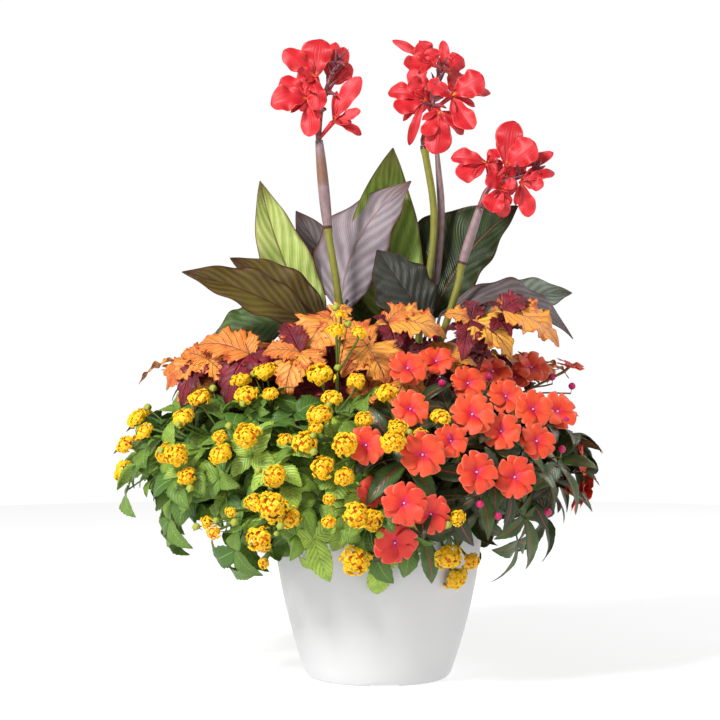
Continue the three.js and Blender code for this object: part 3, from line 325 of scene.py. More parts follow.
# Soil. Dark crumbly potting soil that fills the pot to a hand's breadth under its rim, heaped a little
# between the stems. Its top is a turned disc, roughened into clods.
SOIL_TOP, SOIL_EDGE, GAP = 262, 254, 0.4

soil_form = new_form()
soil_rings = [160, 148, 136, 124, 112, 100, 88, 76, 64, 52, 40, 28, 16, 8]
turn_outline(
    soil_form,
    [
        (0, FOOT_RING["floor"] + GAP), (FOOT_RING["outer"] - 3, FOOT_RING["floor"] + GAP),
        *[(pot_radius(z) - POT_WALL - GAP, z) for z in (25, 60, 120, 190, SOIL_EDGE - 6)],
        *[(radius, SOIL_TOP - 4 * (radius / 160) ** 3) for radius in soil_rings],
        (0, SOIL_TOP),
    ],
    96,
)
for vert in soil_form.verts:
    if vert.co.z > SOIL_EDGE - 5:
        vert.co.z += 5 * noise.noise(vert.co * 0.06) + 2.5 * noise.noise(vert.co * 0.2)
soil_finish = Finish("potting soil", 0.95)
crumbs = soil_finish.grain(140, 8, roughness=0.7)
soil_finish.set("Base Color", soil_finish.mix(crumbs, colour(28, 18, 12), colour(84, 62, 44)))
soil_finish.relief(crumbs, 4)
put_up("potting_soil", soil_form, soil_finish, ["soil"])

# Canna stems. Each is a reed-thin olive stem below, with a dark ring at its joint, and is wrapped in a
# thick purple leaf sheath above. A stem is a tube through points read off the photo at a depth.
CANNA_STEMS = [
    {"root": (-24, 2), "ring": 229, "sheath": 9.4,
     "way": [(338, 294, -36), (328, 229, -38), (319, 140, -40)]},
    {"root": (26, 36), "ring": 148, "sheath": 7.5,
     "way": [(420, 330, 36), (434, 224, 40), (424, 145, 40)]},
    {"root": (30, -22), "ring": 264, "sheath": 7.8,
     "way": [(453, 302, -45), (462, 264, -46), (480, 208, -48)]},
]
SECOND_STALK = {"way": [(431, 330, 58), (441, 226, 56), (437, 150, 54)], "radius": 6.4}
CANNA_STEM_R, ROOT_DEPTH = 6, 24


def seen(u, v, y):
    """The place of a picture point at depth y."""
    right = (u - PICTURE_MIDDLE) / FOCAL
    up = (PICTURE_MIDDLE - v) / FOCAL
    ray = Vector((right, math.cos(TILT) + math.sin(TILT) * up, math.cos(TILT) * up - math.sin(TILT)))
    return EYE + ray * ((y - EYE.y) / ray.y)


def smooth_way(points, steps):
    """Points along a curve through a few points, by share of its length."""
    ends = [2 * points[0] - points[1], *points, 2 * points[-1] - points[-2]]
    dense = []
    for p, a, b, q in zip(ends, ends[1:], ends[2:], ends[3:]):
        for k in range(12):
            t = k / 12
            dense.append(
                0.5 * (2 * a + (b - p) * t + (2 * p - 5 * a + 4 * b - q) * t**2
                       + (3 * a - p - 3 * b + q) * t**3)
            )
    dense.append(points[-1])
    walked = [0]
    for a, b in zip(dense, dense[1:]):
        walked.append(walked[-1] + (b - a).length)
    way = []
    for i in range(steps + 1):
        target = walked[-1] * i / steps
        k = next((k for k in range(1, len(walked)) if walked[k] >= target - 1e-9), len(walked) - 1)
        share = (target - walked[k - 1]) / max(1e-9, walked[k] - walked[k - 1])
        way.append(dense[k - 1].lerp(dense[k], min(1, share)))
    return way


def add_stalk(form, way, radius_at, sides=6, tint=0.5, tint_at=None):
    """A closed round stalk along points. radius_at(share) gives its radius; its ends are rounded shut."""
    rows = [way[0], *way, way[-1]]
    last = len(rows) - 1
    made = bmesh.ops.create_grid(form, x_segments=sides, y_segments=last, size=1, calc_uvs=True)
    tints = form.verts.layers.float["tint"]
    directions = [(b - a).normalized() for a, b in zip(way, way[1:])]
    directions = [directions[0], *directions, directions[-1], directions[-1]]
    level = directions[0].orthogonal().normalized()
    frames = []
    for direction in directions:
        level = (level - direction * level.dot(direction)).normalized()
        frames.append((level, direction.cross(level)))
    for vert in made["verts"]:
        row = round((vert.co.y + 1) / 2 * last)
        turn = -(vert.co.x + 1) * math.pi
        radius = 0 if row in (0, last) else radius_at((row - 1) / (last - 2))
        first, second = frames[row]
        vert.co = rows[row] + (first * math.cos(turn) + second * math.sin(turn)) * radius
        vert[tints] = tint_at((row - 1) / (last - 2)) if tint_at else tint
    bmesh.ops.remove_doubles(form, verts=made["verts"], dist=1e-4)


stem_ways = []
for stem in CANNA_STEMS:
    foot = Vector((*stem["root"], SOIL_TOP - ROOT_DEPTH))
    above = Vector((*stem["root"], SOIL_TOP + 60))
    stem_ways.append(smooth_way([foot, above, *[seen(*place) for place in stem["way"]]], 80))

stem_finish = Finish("canna stem", 0.42)
at_sheath = stem_finish.tint()
stem_mottle = stem_finish.grain(90, 5)
stem_bloom = stem_finish.grain(14, 3)
olive = stem_finish.mix(stem_mottle, colour(96, 94, 28), colour(140, 138, 52))
sheath = stem_finish.mix(stem_mottle, colour(92, 64, 66), colour(160, 136, 138))
sheath = stem_finish.mix(stem_bloom.between(0.5, 0.72) * 0.8, sheath, colour(118, 76, 44))
body = stem_finish.mix(at_sheath, olive, sheath)
ring = (1 - 2 * (at_sheath - 0.5).size()).between(0.1, 0.6)
stem_finish.set("Base Color", stem_finish.mix(ring, body, colour(72, 30, 20)))
stem_finish.relief(stem_finish.streaks(2, 30), 0.6, 0.7)

for i, (stem, way) in enumerate(zip(CANNA_STEMS, stem_ways)):
    ring_z = seen(*stem["way"][1][:1], stem["ring"], stem["way"][1][2]).z
    ring_at = min(range(len(way)), key=lambda k: abs(way[k].z - ring_z)) / (len(way) - 1)

    def stem_radius(share):
        knuckle = 1.4 * math.exp(-(((share - ring_at) / 0.008) ** 2))
        past = max(0, (share - ring_at) / (1.001 - ring_at))
        swell = (stem["sheath"] - CANNA_STEM_R) * math.sin(math.pi * past**0.8) ** 0.7
        return CANNA_STEM_R + knuckle + swell

    stem_form = new_form()
    add_stalk(stem_form, way, stem_radius, 16, tint_at=lambda share: float(share > ring_at))
    if i == 1:
        way = smooth_way([seen(*place) for place in SECOND_STALK["way"]], 30)
        add_stalk(
            stem_form, way,
            lambda share: SECOND_STALK["radius"] * (0.6 + 0.4 * min(1, 4 * (1 - share))), 14, 1,
        )
    put_up(f"canna_shoot_{i + 1}", stem_form, stem_finish, [f"canna_stem_{i + 1}"])

# Canna leaves. Large satin blades that fold up along a strong rib, with fine side veins that run to a thin
# dark edge, each on a grooved stalk against its stem: some lime green, some bronze and some grey purple.
CANNA_LEAVES = [
    {"stem": 0, "leaves": 400, "root": (322, 335, 34), "tip": (260, 181, 52), "width": 92,
     "face": (0.35, -1, 0.1), "arch": -0.05, "fold": 0.32, "sway": 0.03, "uneven": 0.05,
     "kind": "lime"},
    {"stem": 0, "leaves": 455, "root": (341, 312, -2), "tip": (411, 181, 24), "width": 152,
     "face": (0.62, 0.78, 0.2), "arch": -0.03, "fold": 0.42, "sway": -0.13, "uneven": -0.36,
     "kind": "purple"},
    {"stem": 1, "leaves": 395, "root": (402, 338, 66), "tip": (393, 148, 92), "width": 126,
     "face": (0.05, -1, 0.1), "arch": 0.02, "fold": 0.3, "sway": 0.05, "uneven": 0.12,
     "kind": "green"},
    {"stem": 1, "leaves": 440, "root": (428, 322, -6), "tip": (377, 250, 2), "width": 126,
     "face": (0.25, -0.75, 0.6), "arch": 0.08, "fold": 0.25, "sway": 0.06, "uneven": 0.2,
     "kind": "slate"},
    {"stem": 2, "leaves": 400, "root": (433, 318, 12), "tip": (518, 206, 34), "width": 150,
     "face": (-0.35, -0.9, 0.3), "arch": -0.1, "fold": 0.24, "sway": 0.13, "uneven": 0.36,
     "kind": "forest"},
    {"stem": 2, "leaves": 450, "root": (440, 316, -16), "tip": (573, 339, -46), "width": 104,
     "face": (0.05, -0.45, 1), "arch": 0.24, "fold": 0.2, "kind": "dusk"},
    {"stem": 2, "leaves": 420, "root": (478, 322, 66), "tip": (572, 293, 110), "width": 88,
     "face": (-0.1, -0.85, 0.75), "arch": 0.12, "fold": 0.2, "kind": "silver"},
    {"stem": 0, "leaves": 425, "root": (312, 326, -44), "tip": (182, 272, -84), "width": 92,
     "face": (0.15, -0.8, 0.75), "arch": 0.07, "fold": 0.2, "kind": "bronze"},
    {"stem": 0, "leaves": 380, "root": (325, 322, 2), "tip": (230, 258, -12), "width": 82,
     "face": (0.1, -0.85, 0.6), "arch": 0.05, "fold": 0.2, "kind": "bronze"},
    {"stem": 0, "leaves": 360, "root": (290, 322, 44), "tip": (209, 346, 26), "width": 100,
     "face": (0, -0.7, 0.75), "arch": 0.1, "fold": 0.15, "kind": "moss"},
    {"stem": 1, "leaves": 420, "root": (352, 306, 104), "tip": (296, 211, 132), "width": 84,
     "face": (0.2, -1, 0.2), "arch": 0.02, "fold": 0.25, "kind": "dusk"},
    {"stem": 1, "leaves": 370, "root": (396, 326, 122), "tip": (424, 262, 250), "width": 112,
     "face": (0.1, -0.55, 0.9), "arch": 0.12, "fold": 0.22, "kind": "moss",
     "bases": [((372, 345), (352, 282), 66, 74)]},
]
CANNA_STALK_R, WAVE = 4, 6.283
# Each kind of leaf: its deep colour, its light colour, its rib and its edge, and the name of its group.
CANNA_LEAF_KINDS = {
    "lime": [(132, 158, 58), (206, 212, 134), (128, 120, 72), (96, 56, 34), "canna_leaf_green"],
    "green": [(98, 130, 40), (162, 182, 84), (120, 130, 70), (104, 88, 50), "canna_leaf_green"],
    "moss": [(62, 84, 38), (110, 132, 72), (98, 96, 60), (78, 50, 34), "canna_leaf_green"],
    "silver": [(82, 92, 78), (148, 158, 144), (108, 104, 96), (70, 46, 40), "canna_leaf_green"],
    "bronze": [(62, 42, 18), (106, 92, 38), (74, 48, 28), (74, 34, 22), "canna_leaf_bronze"],
    "forest": [(20, 32, 12), (56, 72, 26), (84, 58, 40), (62, 34, 26), "canna_leaf_bronze"],
    "slate": [(38, 40, 34), (66, 68, 56), (58, 50, 44), (54, 36, 32), "canna_leaf_bronze"],
    "dusk": [(70, 60, 62), (118, 108, 108), (96, 78, 72), (78, 44, 36), "canna_leaf_purple"],
    "purple": [(110, 98, 104), (166, 154, 158), (128, 104, 100), (104, 66, 52), "canna_leaf_purple"],
}


def node_corners(name):
    """A CAD solid's corners, in millimetres, for finding the nearest."""
    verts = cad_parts[name].data.vertices
    tree = kdtree.KDTree(len(verts))
    for i, vert in enumerate(verts):
        tree.insert(vert.co / MM, i)
    tree.balance()
    return tree


def missed(corners, points):
    """How far the worst of some points lies from a solid's nearest corner."""
    return max(corners.find(point)[2] for point in points)


def add_blade(form, root, tip, face, width, outline, along, across, **look):
    """A leaf or petal from its root to its tip, whose upper side looks at face. outline(share) gives its
    half width. look may give arch, fold, droop, waves, wave_depth, start, teeth, tooth_depth, notch, sway,
    uneven and tint."""
    length = (tip - root).length
    ahead = (tip - root).normalized()
    normal = (face - ahead * face.dot(ahead)).normalized()
    side = ahead.cross(normal)
    arch, fold, droop = look.get("arch", 0), look.get("fold", 0), look.get("droop", 0)
    waves, wave_depth = look.get("waves", 0), look.get("wave_depth", 0)
    teeth, tooth_depth = look.get("teeth", 0), look.get("tooth_depth", 0)
    start, notch = look.get("start", 0), look.get("notch", 0)
    sway, uneven = look.get("sway", 0), look.get("uneven", 0)
    made = bmesh.ops.create_grid(form, x_segments=across, y_segments=along, size=1, calc_uvs=True)
    tints = form.verts.layers.float["tint"]
    for vert in made["verts"]:
        x, t = vert.co.x, (vert.co.y + 1) / 2
        half = width / 2 * outline(t)
        phase = t * teeth - math.floor(t * teeth)
        half *= (1 + tooth_depth * (phase - 0.5) * abs(x) ** 5) * (1 - uneven if x > 0 else 1 + uneven)
        lift = 4 * arch * length * t * (1 - t) + fold * abs(x) * half - droop * length * t**3
        ripple = math.sin(2 * math.pi * waves * t + start + (2 if x > 0 else 0))
        lift += wave_depth * width * ripple * x * x * math.sin(math.pi * t)
        reach = t * length * (1 - notch * math.exp(-((x / 0.28) ** 2)) * t**6)
        aside = x * half - 4 * sway * length * t * (1 - t)
        vert.co = root + ahead * reach + side * aside + normal * lift
        vert[tints] = look.get("tint", 0.5)


def canna_outline(share):
    return max(0.02, math.sin(math.pi * share**0.8) ** 0.86)


canna_finishes = {}
for kind, (deep, light, rib_colour, edge_colour, _) in CANNA_LEAF_KINDS.items():
    leaf_finish = Finish(f"canna leaf {kind}", 0.4)
    out, up = leaf_finish.across_and_along()
    veins = (up * 46 - out * 15 + 2.2 * leaf_finish.grain(9, 2)) * WAVE
    vein = veins.sine() * 0.5 + 0.5
    bands = ((up * 8 - out * 2.8 + 1.3 * leaf_finish.grain(7, 2)) * WAVE).sine() * 0.5 + 0.5
    patch = leaf_finish.grain(9, 5, roughness=0.6)
    lean = leaf_finish.mix(
        (patch * 0.85 + bands * 0.2).between(0.25, 0.85), colour(*deep), colour(*light)
    )
    lined = leaf_finish.mix(vein ** 3 * 0.3, lean, colour(*[0.72 * part for part in deep]))
    ribbed = leaf_finish.mix(1 - out.between(0.012, 0.05), lined, colour(*rib_colour))
    dark_edge = out.between(0.8, 1.0) * 0.5 + out.between(0.95, 0.99) * 0.5
    edged = leaf_finish.mix(dark_edge, ribbed, colour(*edge_colour))
    browned = leaf_finish.mix(up.between(0.8, 1.0) * 0.7, edged, colour(*edge_colour))
    leaf_finish.set("Base Color", browned)
    leaf_finish.set("Roughness", 0.34 + 0.2 * patch)
    leaf_finish.set("Specular IOR Level", 0.3)
    leaf_finish.relief(vein * 0.6 + bands * 1.6 + 2.6 * out.between(0.0, 0.08), 1.0, 0.7)
    canna_finishes[kind] = leaf_finish

for number, leaf in enumerate(CANNA_LEAVES, 1):
    node = f"canna_leaf_{number:02d}"
    corners = node_corners(node)
    shifts = [math.ceil(i / 2) * 7 * (1 if i % 2 else -1) for i in range(15)]
    (root_u, root_v, root_y), (tip_u, tip_v, tip_y) = leaf["root"], leaf["tip"]
    shift = min(shifts, key=lambda step: missed(corners, [seen(tip_u, tip_v, tip_y + step)]))
    root, tip = seen(root_u, root_v, root_y + shift), seen(tip_u, tip_v, tip_y + shift)
    leaf_form = new_form()
    add_blade(
        leaf_form, root, tip, Vector(leaf["face"]), leaf["width"], canna_outline, 44, 14,
        arch=leaf["arch"], fold=leaf["fold"], waves=3.4, wave_depth=0.05, start=number * 1.7,
        sway=leaf.get("sway", 0), uneven=leaf.get("uneven", 0),
    )
    beside = next(point for point in stem_ways[leaf["stem"]] if point.z >= leaf["leaves"])
    higher = next(point for point in stem_ways[leaf["stem"]] if point.z >= leaf["leaves"] + 26)
    away = (root - beside).to_2d().normalized().to_3d()
    off = CANNA_STEM_R + CANNA_STALK_R * 0.85
    onto = root.lerp(tip, 0.1) + 4 * leaf["arch"] * (tip - root).length * 0.09 * Vector(leaf["face"])
    bend = (higher + away * off).lerp(root, 0.6) - Vector((0, 0, 5))
    stalk = smooth_way([beside + away * off, higher + away * off, bend, root, onto], 22)
    add_stalk(leaf_form, stalk, lambda share: CANNA_STALK_R * (1.1 - 0.75 * share), 10)
    for (from_u, from_v), (to_u, to_v), depth, width in leaf.get("bases", []):
        add_blade(
            leaf_form, seen(from_u, from_v, depth), seen(to_u, to_v, depth), Vector((0.3, -1, 0.1)), width,
            canna_outline, 20, 8, arch=0.05, fold=0.5,
        )
    kind = leaf["kind"]
    put_up(
        f"canna_blade_{number:02d}", leaf_form, canna_finishes[kind], [node],
        0.9,
    )

# Canna flower heads. Silky scarlet petals with ruffled edges open in flowers round a purple spike, among
# dark unopened buds and narrow bracts. Each flower's petals spread from the end of its tube.
CANNA_HEADS = [
    {
        "rachis": [(319, 138, -40), (323, 100, -38), (338, 58, -36)],
        "flowers": [
            (
                (316, 78, -46),
                [(321, 38, 8, 25), (283, 51, -6, 18), (296, 72, -34, 11), (318, 108, -30, 16)],
            ),
            ((309, 101, -46), [(271, 104, -14, 22), (281, 80, 10, 19), (309, 136, -12, 16)]),
            ((332, 84, -32), [(345, 47, 4, 15), (336, 41, 26, 13), (350, 66, 42, 15)]),
            ((333, 124, -40), [(362, 78, -4, 15), (360, 110, -14, 9), (362, 134, 6, 8)]),
            ((318, 92, -22), [(300, 66, 48, 18), (326, 96, 62, 18), (300, 112, 44, 16)]),
        ],
        "buds": [(340, 57), (345, 66), (333, 74), (329, 62), (336, 96), (326, 110)],
    },
    {
        "rachis": [(424, 143, 40), (431, 112, 38), (440, 66, 36)],
        "flowers": [
            ((433, 68, 32), [(421, 41, -4, 17), (432, 48, -22, 13), (403, 65, -18, 14), (393, 38, 8, 8)]),
            ((425, 99, 32), [(388, 92, 8, 15), (393, 109, -14, 16), (413, 77, -26, 14), (409, 145, 0, 8)]),
            (
                (452, 96, 32),
                [(484, 77, -12, 24), (473, 130, -14, 19), (430, 82, -34, 15), (490, 94, 22, 9)],
            ),
            ((439, 114, 32), [(434, 155, -8, 22), (423, 134, -24, 13), (464, 134, 12, 10)]),
            ((449, 74, 40), [(464, 58, 6, 17), (443, 42, 16, 9), (440, 62, 56, 18), (462, 92, 52, 18)]),
            ((428, 92, 50), [(410, 70, 44, 18), (412, 112, 46, 18), (436, 104, 58, 16)]),
        ],
        "buds": [(428, 92), (440, 98), (446, 108), (420, 104), (450, 122), (434, 84)],
    },
    {
        "rachis": [(480, 206, -48), (492, 186, -46), (532, 172, -42)],
        "flowers": [
            ((506, 168, -50), [(514, 120, 4, 22), (536, 143, -16, 24), (553, 154, 14, 11)]),
            ((487, 164, -46), [(451, 157, 4, 14), (498, 151, 16, 11), (456, 173, -16, 17)]),
            (
                (501, 190, -56),
                [(486, 176, -24, 16), (492, 213, -12, 18), (504, 217, -4, 13), (517, 184, -28, 10)],
            ),
            ((520, 188, -46), [(544, 187, -12, 12), (529, 217, 0, 14), (555, 172, 8, 9)]),
            ((505, 178, -34), [(490, 162, 46, 18), (522, 160, 48, 18), (512, 196, 50, 17)]),
        ],
        "buds": [(541, 160), (545, 166), (540, 173), (534, 158), (528, 172), (516, 164)],
    },
]
FLOWER_TUBE, PETAL_SPREAD = 16, 1.25


def tip_at(u, v, y, middle, axis, least, most):
    """A blade's tip seen at a picture point, where it rises by a fair share of its length."""
    depth = y
    tip = seen(u, v, depth)
    for _ in range(6):
        out = tip - middle
        rise = out.dot(axis) / out.length
        wanted = min(most, max(least, rise))
        depth += (wanted - rise) * out.length / axis.y
        tip = seen(u, v, depth)
    return tip


def petal_outline(share):
    return 0.1 + 0.9 * max(0, math.sin(math.pi * min(1, share) ** 1.7)) ** 0.62


petal_finish = Finish("scarlet petal", 0.5)
out, up = petal_finish.across_and_along()
silk = petal_finish.streaks(1.2, 16)
flame = petal_finish.mix(petal_finish.tint(), colour(186, 14, 30), colour(220, 44, 52))
flame = petal_finish.mix(silk.between(0.4, 0.7) * 0.6, flame, colour(156, 6, 24))
# Painted highlight: the edges of each petal are lightened towards a pale scarlet.
flame = petal_finish.mix(out.between(0.8, 1.0) * 0.45, flame, colour(236, 96, 88))
flame = petal_finish.mix(1 - up.between(0.05, 0.3), flame, colour(168, 14, 30))
throat = (1 - up.between(0.02, 0.2)) * (1 - out.between(0.1, 0.5))
flame = petal_finish.mix(throat, flame, colour(236, 150, 50))
petal_finish.set("Base Color", flame)
petal_finish.relief(silk, 0.8)

bud_finish = Finish("dark bud", 0.45)
bud_mottle = bud_finish.grain(160, 4)
bud_finish.set("Base Color", bud_finish.mix(bud_mottle, colour(70, 18, 30), colour(150, 78, 84)))
bud_finish.relief(bud_mottle, 0.5)

for number, head in enumerate(CANNA_HEADS, 1):
    stem_way = stem_ways[number - 1]
    onwards = (stem_way[-1] - stem_way[-2]).normalized()
    way = [seen(*place) for place in head["rachis"]]
    way[0] = stem_way[-1] + onwards * 2 * GAP
    lean = (way[2] - way[1]).normalized()
    petal_form = new_form()
    bud_form = new_form()
    rachis = smooth_way([way[0], way[0] + onwards * 8, way[1], way[2]], 18)
    add_stalk(bud_form, rachis, lambda share: 5.2 - 2.6 * share, 10)
    for order, (at, petals) in enumerate(head["flowers"]):
        middle = seen(*at)
        depth = sum(petal[2] for petal in petals) / len(petals)
        axis = Vector((0, 0.94 if depth > 20 else -0.94, 0.34))
        near = min(way, key=lambda point: (point - middle).length)
        foot = near + lean * (1.3 * order - 2.6)
        middle += axis * max(0, FLOWER_TUBE - (middle - foot).dot(axis))
        add_stalk(petal_form, smooth_way([foot, foot.lerp(middle, 0.5), middle], 6),
                  lambda share: 2.6 + 1.6 * share, 10, 0.2)
        for place, (u, v, dy, width) in enumerate(petals):
            tip = tip_at(u, v, middle.y + dy, middle, axis, -0.35, 0.6)
            start = 2.1 * place + order
            add_blade(
                petal_form, middle, tip, axis, width * PETAL_SPREAD * MM_PER_PIXEL, petal_outline, 20, 14,
                arch=0.04 + 0.1 * math.sin(start), fold=0.3 * math.sin(1.9 * start), waves=2.6,
                wave_depth=0.13, start=start, droop=0.12 * math.cos(start),
                sway=0.05 * math.sin(3 * start), uneven=0.16 * math.cos(2.3 * start),
                tint=(0.37 * (place + 3 * order)) % 1,
            )
            # A narrow darker sepal lies behind the petal.
            beside = Quaternion(axis, 0.5 * (-1) ** place) @ (tip - middle)
            add_blade(
                petal_form, middle - axis * 2, middle + beside * 0.62 - axis * 5, axis, 12,
                petal_outline, 10, 6, arch=0.1, fold=0.5, waves=1.3, wave_depth=0.1, start=start, tint=0.1,
            )
        # The narrow curled lip and stamen of the flower.
        lip = middle + axis * 26 + Vector((8 * math.sin(order * 2.3), 0, -10 * math.cos(order * 1.7)))
        add_blade(petal_form, middle, lip, Vector((0, 0, 1)), 7, petal_outline, 8, 4,
                  arch=0.2, fold=0.4, tint=0.8)
    for place, (u, v) in enumerate(head["buds"]):
        bud_tip = seen(u, v, way[1].y - 16 - 5 * (place % 3))
        base = min(rachis, key=lambda point: (point - bud_tip).length)
        add_stalk(bud_form, smooth_way([base, base.lerp(bud_tip, 0.55) + lean * 3, bud_tip], 7),
                  lambda share: 1.2 + 2.4 * math.sin(math.pi * min(1, 0.25 + share * 0.75)), 8)
    for k in range(9):
        from_here = way[1].lerp(way[2], 0.25 + 0.085 * k)
        spread = Vector((math.cos(k * 2.4), math.sin(k * 2.4), 0)) * 0.6
        out_to = from_here + (lean + spread) * (22 + 3 * (k % 4))
        add_stalk(bud_form, smooth_way([from_here, out_to], 5),
                  lambda share: 2.4 * math.sin(math.pi * (0.3 + 0.68 * share)), 8)
    node = f"canna_bloom_{number}"
    put_up(f"canna_petals_{number}", petal_form, petal_finish, [node], 0.5)
    put_up(f"canna_buds_{number}", bud_form, bud_finish, [])

# Coleus. Copper orange leaves with coarse teeth, quilted between dark red veins, in whorls at the ends of
# square stems round the cannas' feet. Small wine red leaves stand among them.
COLEUS_PLANTS = [
    {"root": 196, "shoots": [
        {"end": (250, 354), "leaves": [(195, 341, 32), (241, 330, 20), (224, 401, 30), (272, 378, 24)]},
        {"end": (206, 358), "leaves": [(163, 386, 26), (236, 386, 22), (178, 404, 20), (180, 352, 20)]},
    ]},
    {"root": 238, "shoots": [
        {"end": (332, 318), "leaves": [(301, 362, 44), (352, 306, 20), (344, 352, 26)]},
        {"end": (300, 352), "leaves": [(283, 319, 20), (262, 351, 24), (283, 398, 26), (324, 384, 24)]},
    ]},
    {"root": 272, "shoots": [
        {"end": (367, 345), "leaves": [(343, 322, 30), (341, 374, 30), (388, 381, 38)]},
        {"end": (388, 322), "leaves": [(448, 332, 36), (398, 350, 24), (414, 306, 24)]},
    ]},
    {"root": 322, "shoots": [
        {"end": (470, 323), "leaves": [(443, 316, 20), (514, 356, 38), (462, 360, 20), (476, 302, 18)]},
        {"end": (501, 317), "leaves": [(561, 347, 38), (529, 303, 22)]},
    ]},
]
COLEUS_BACK_PLANTS = [
    {"root": 122, "shoots": [(112, 545), (150, 520), (176, 520)]},
    {"root": 48, "shoots": [(70, 545), (38, 525), (4, 520)]},
]
COLEUS_MOUND = (Vector((-30, 40, 400)), Vector((350, 270, 215)))
COLEUS_FRONT, COLEUS_R, COLEUS_STEM_R, COLEUS_FORK = -96, 84, 4, 430
WINE_LEAVES = {
    (224, 401), (398, 350), (476, 302), (529, 303), (283, 319), (178, 404), (462, 360), (272, 378),
}
COLEUS_INSIDE = {"tries": 320, "lowest": 428, "highest": 545}
GOLDEN_TURN = 2.39996


def draw(i, k):
    """Evenly spread draws from 0 to 1: the i-th of series k."""
    value = (i + 1) * 0.61803399 + (k + 1) * 0.7548777
    return value - math.floor(value)


def scatter(i, k):
    """Draws from 0 to 1 that follow no pattern: the i-th of series k."""
    value = math.sin(i * 12.9898 + k * 78.233) * 43758.5453
    return value - math.floor(value)


def polar(radius, degrees, z):
    way = math.radians(degrees)
    return Vector((radius * math.cos(way), radius * math.sin(way), z))


def on_mound(mound, u, v):
    """The place of a picture point on the near side of a mound."""
    centre, radii = mound
    point = seen(u, v, centre.y)
    for _ in range(4):
        left = 1 - ((point.x - centre.x) / radii.x) ** 2 - ((point.z - centre.z) / radii.z) ** 2
        point = seen(u, v, centre.y - radii.y * math.sqrt(max(0, left)))
    return point


def round_mound(mound, degrees, z):
    """The place on a mound at a height, at an angle round it."""
    centre, radii = mound
    share = math.sqrt(max(0, 1 - ((z - centre.z) / radii.z) ** 2))
    way = math.radians(degrees)
    return Vector(
        (centre.x + radii.x * share * math.cos(way), centre.y + radii.y * share * math.sin(way), z)
    )


def outward(mound, point):
    centre, radii = mound
    off = point - centre
    return Vector([part / radius**2 for part, radius in zip(off, radii)]).normalized()


def egg_outline(share):
    return max(0.03, math.sin(math.pi * share**0.72) ** 0.8)


COLEUS_LEAF = {
    "outline": egg_outline, "along": 27, "across": 10, "arch": 0.12, "fold": 0.08, "waves": 3.5,
    "wave_depth": 0.09, "teeth": 9, "tooth_depth": 0.44, "droop": 0.14,
}
COLEUS_SMALL = {**COLEUS_LEAF, "along": 10, "across": 4, "teeth": 5, "waves": 0}

coleus_finish = Finish("coleus leaf", 0.6)
out, up = coleus_finish.across_and_along()
leaf_tint = coleus_finish.tint()
cloud = coleus_finish.grain(34, 5, roughness=0.65)
side_vein = ((up * 7 - out * 2.6 + 0.7 * coleus_finish.grain(40, 2)) * WAVE).sine()
branch_vein = side_vein.between(0.8, 1.0) * (1 - out.between(0.5, 0.9))
copper = coleus_finish.mix(leaf_tint, colour(216, 106, 46), colour(246, 182, 68))
copper = coleus_finish.mix(cloud.between(0.34, 0.5), colour(192, 74, 38), copper)
fleck = coleus_finish.grain(300, 3)
copper = coleus_finish.mix(fleck.between(0.5, 0.8) * 0.3, copper, colour(232, 150, 70))
copper = coleus_finish.mix(up.between(0.5, 1.0) * 0.3, copper, colour(196, 78, 30))
wine = coleus_finish.mix(cloud.between(0.3, 0.7), colour(44, 4, 14), colour(138, 20, 40))
leaf_colour = coleus_finish.mix(leaf_tint.between(1.2, 1.6), copper, wine)
vein_colour = coleus_finish.mix(leaf_tint.between(1.2, 1.6), colour(226, 148, 96), colour(168, 50, 70))
veined = coleus_finish.mix(branch_vein * 0.55, leaf_colour, vein_colour)
ribbed = coleus_finish.mix(1 - out.between(0.015, 0.06), veined, vein_colour)
edged = coleus_finish.mix(out.between(0.9, 1.0) * 0.75, ribbed, colour(142, 30, 34))
coleus_finish.set("Base Color", edged)
coleus_finish.relief(cloud * 0.8 - side_vein.between(0.5, 1.0) - 1.4 * (1 - out.between(0.0, 0.12)), 2.6)


def add_leaf(form, leaf, root, tip, axis, width, tint, start=0.0):
    """One leaf of a whorl: its blade from root to tip with its upper side along the whorl's axis."""
    look = {key: value for key, value in leaf.items() if key not in ("outline", "along", "across")}
    add_blade(
        form, root, tip, axis, width, leaf["outline"], leaf["along"], leaf["across"], tint=tint,
        start=start, **look,
    )


def coleus_axis(end, towards_viewer):
    return (outward(COLEUS_MOUND, end) * 0.5 + Vector((0, towards_viewer, 0.45))).normalized()


def before_canna(u, v):
    return seen(u, v, min(COLEUS_FRONT, on_mound(COLEUS_MOUND, u, v).y))


coleus = []
for plant in COLEUS_PLANTS:
    shoots = []
    for shoot in plant["shoots"]:
        end = before_canna(*shoot["end"])
        axis = coleus_axis(end, -0.5)
        tips = [tip_at(u, v, end.y, end, axis, -0.25, 0.1) for u, v, _ in shoot["leaves"]]
        widths = [width * MM_PER_PIXEL * 1.35 for *_, width in shoot["leaves"]]
        tints = [
            2 if (u, v) in WINE_LEAVES else min(1, 0.7 * draw(u, v) + 0.5 * (u > 480))
            for u, v, _ in shoot["leaves"]
        ]
        shoots.append((end, axis, tips, widths, tints))
    coleus.append((plant["root"], shoots))
for plant in COLEUS_BACK_PLANTS:
    shoots = []
    for angle, z in plant["shoots"]:
        end = round_mound(COLEUS_MOUND, angle, z)
        lengths = [66 + 26 * draw(j, angle) for j in range(3)]
        tips = [
            end + polar(length, angle + turn, -0.3 * length) for length, turn in zip(lengths, (-75, 0, 75))
        ]
        shoots.append((end, coleus_axis(end, 0), tips, [0.75 * length for length in lengths],
                       [draw(j, angle + 1) for j in range(3)]))
    coleus.append((plant["root"], shoots))


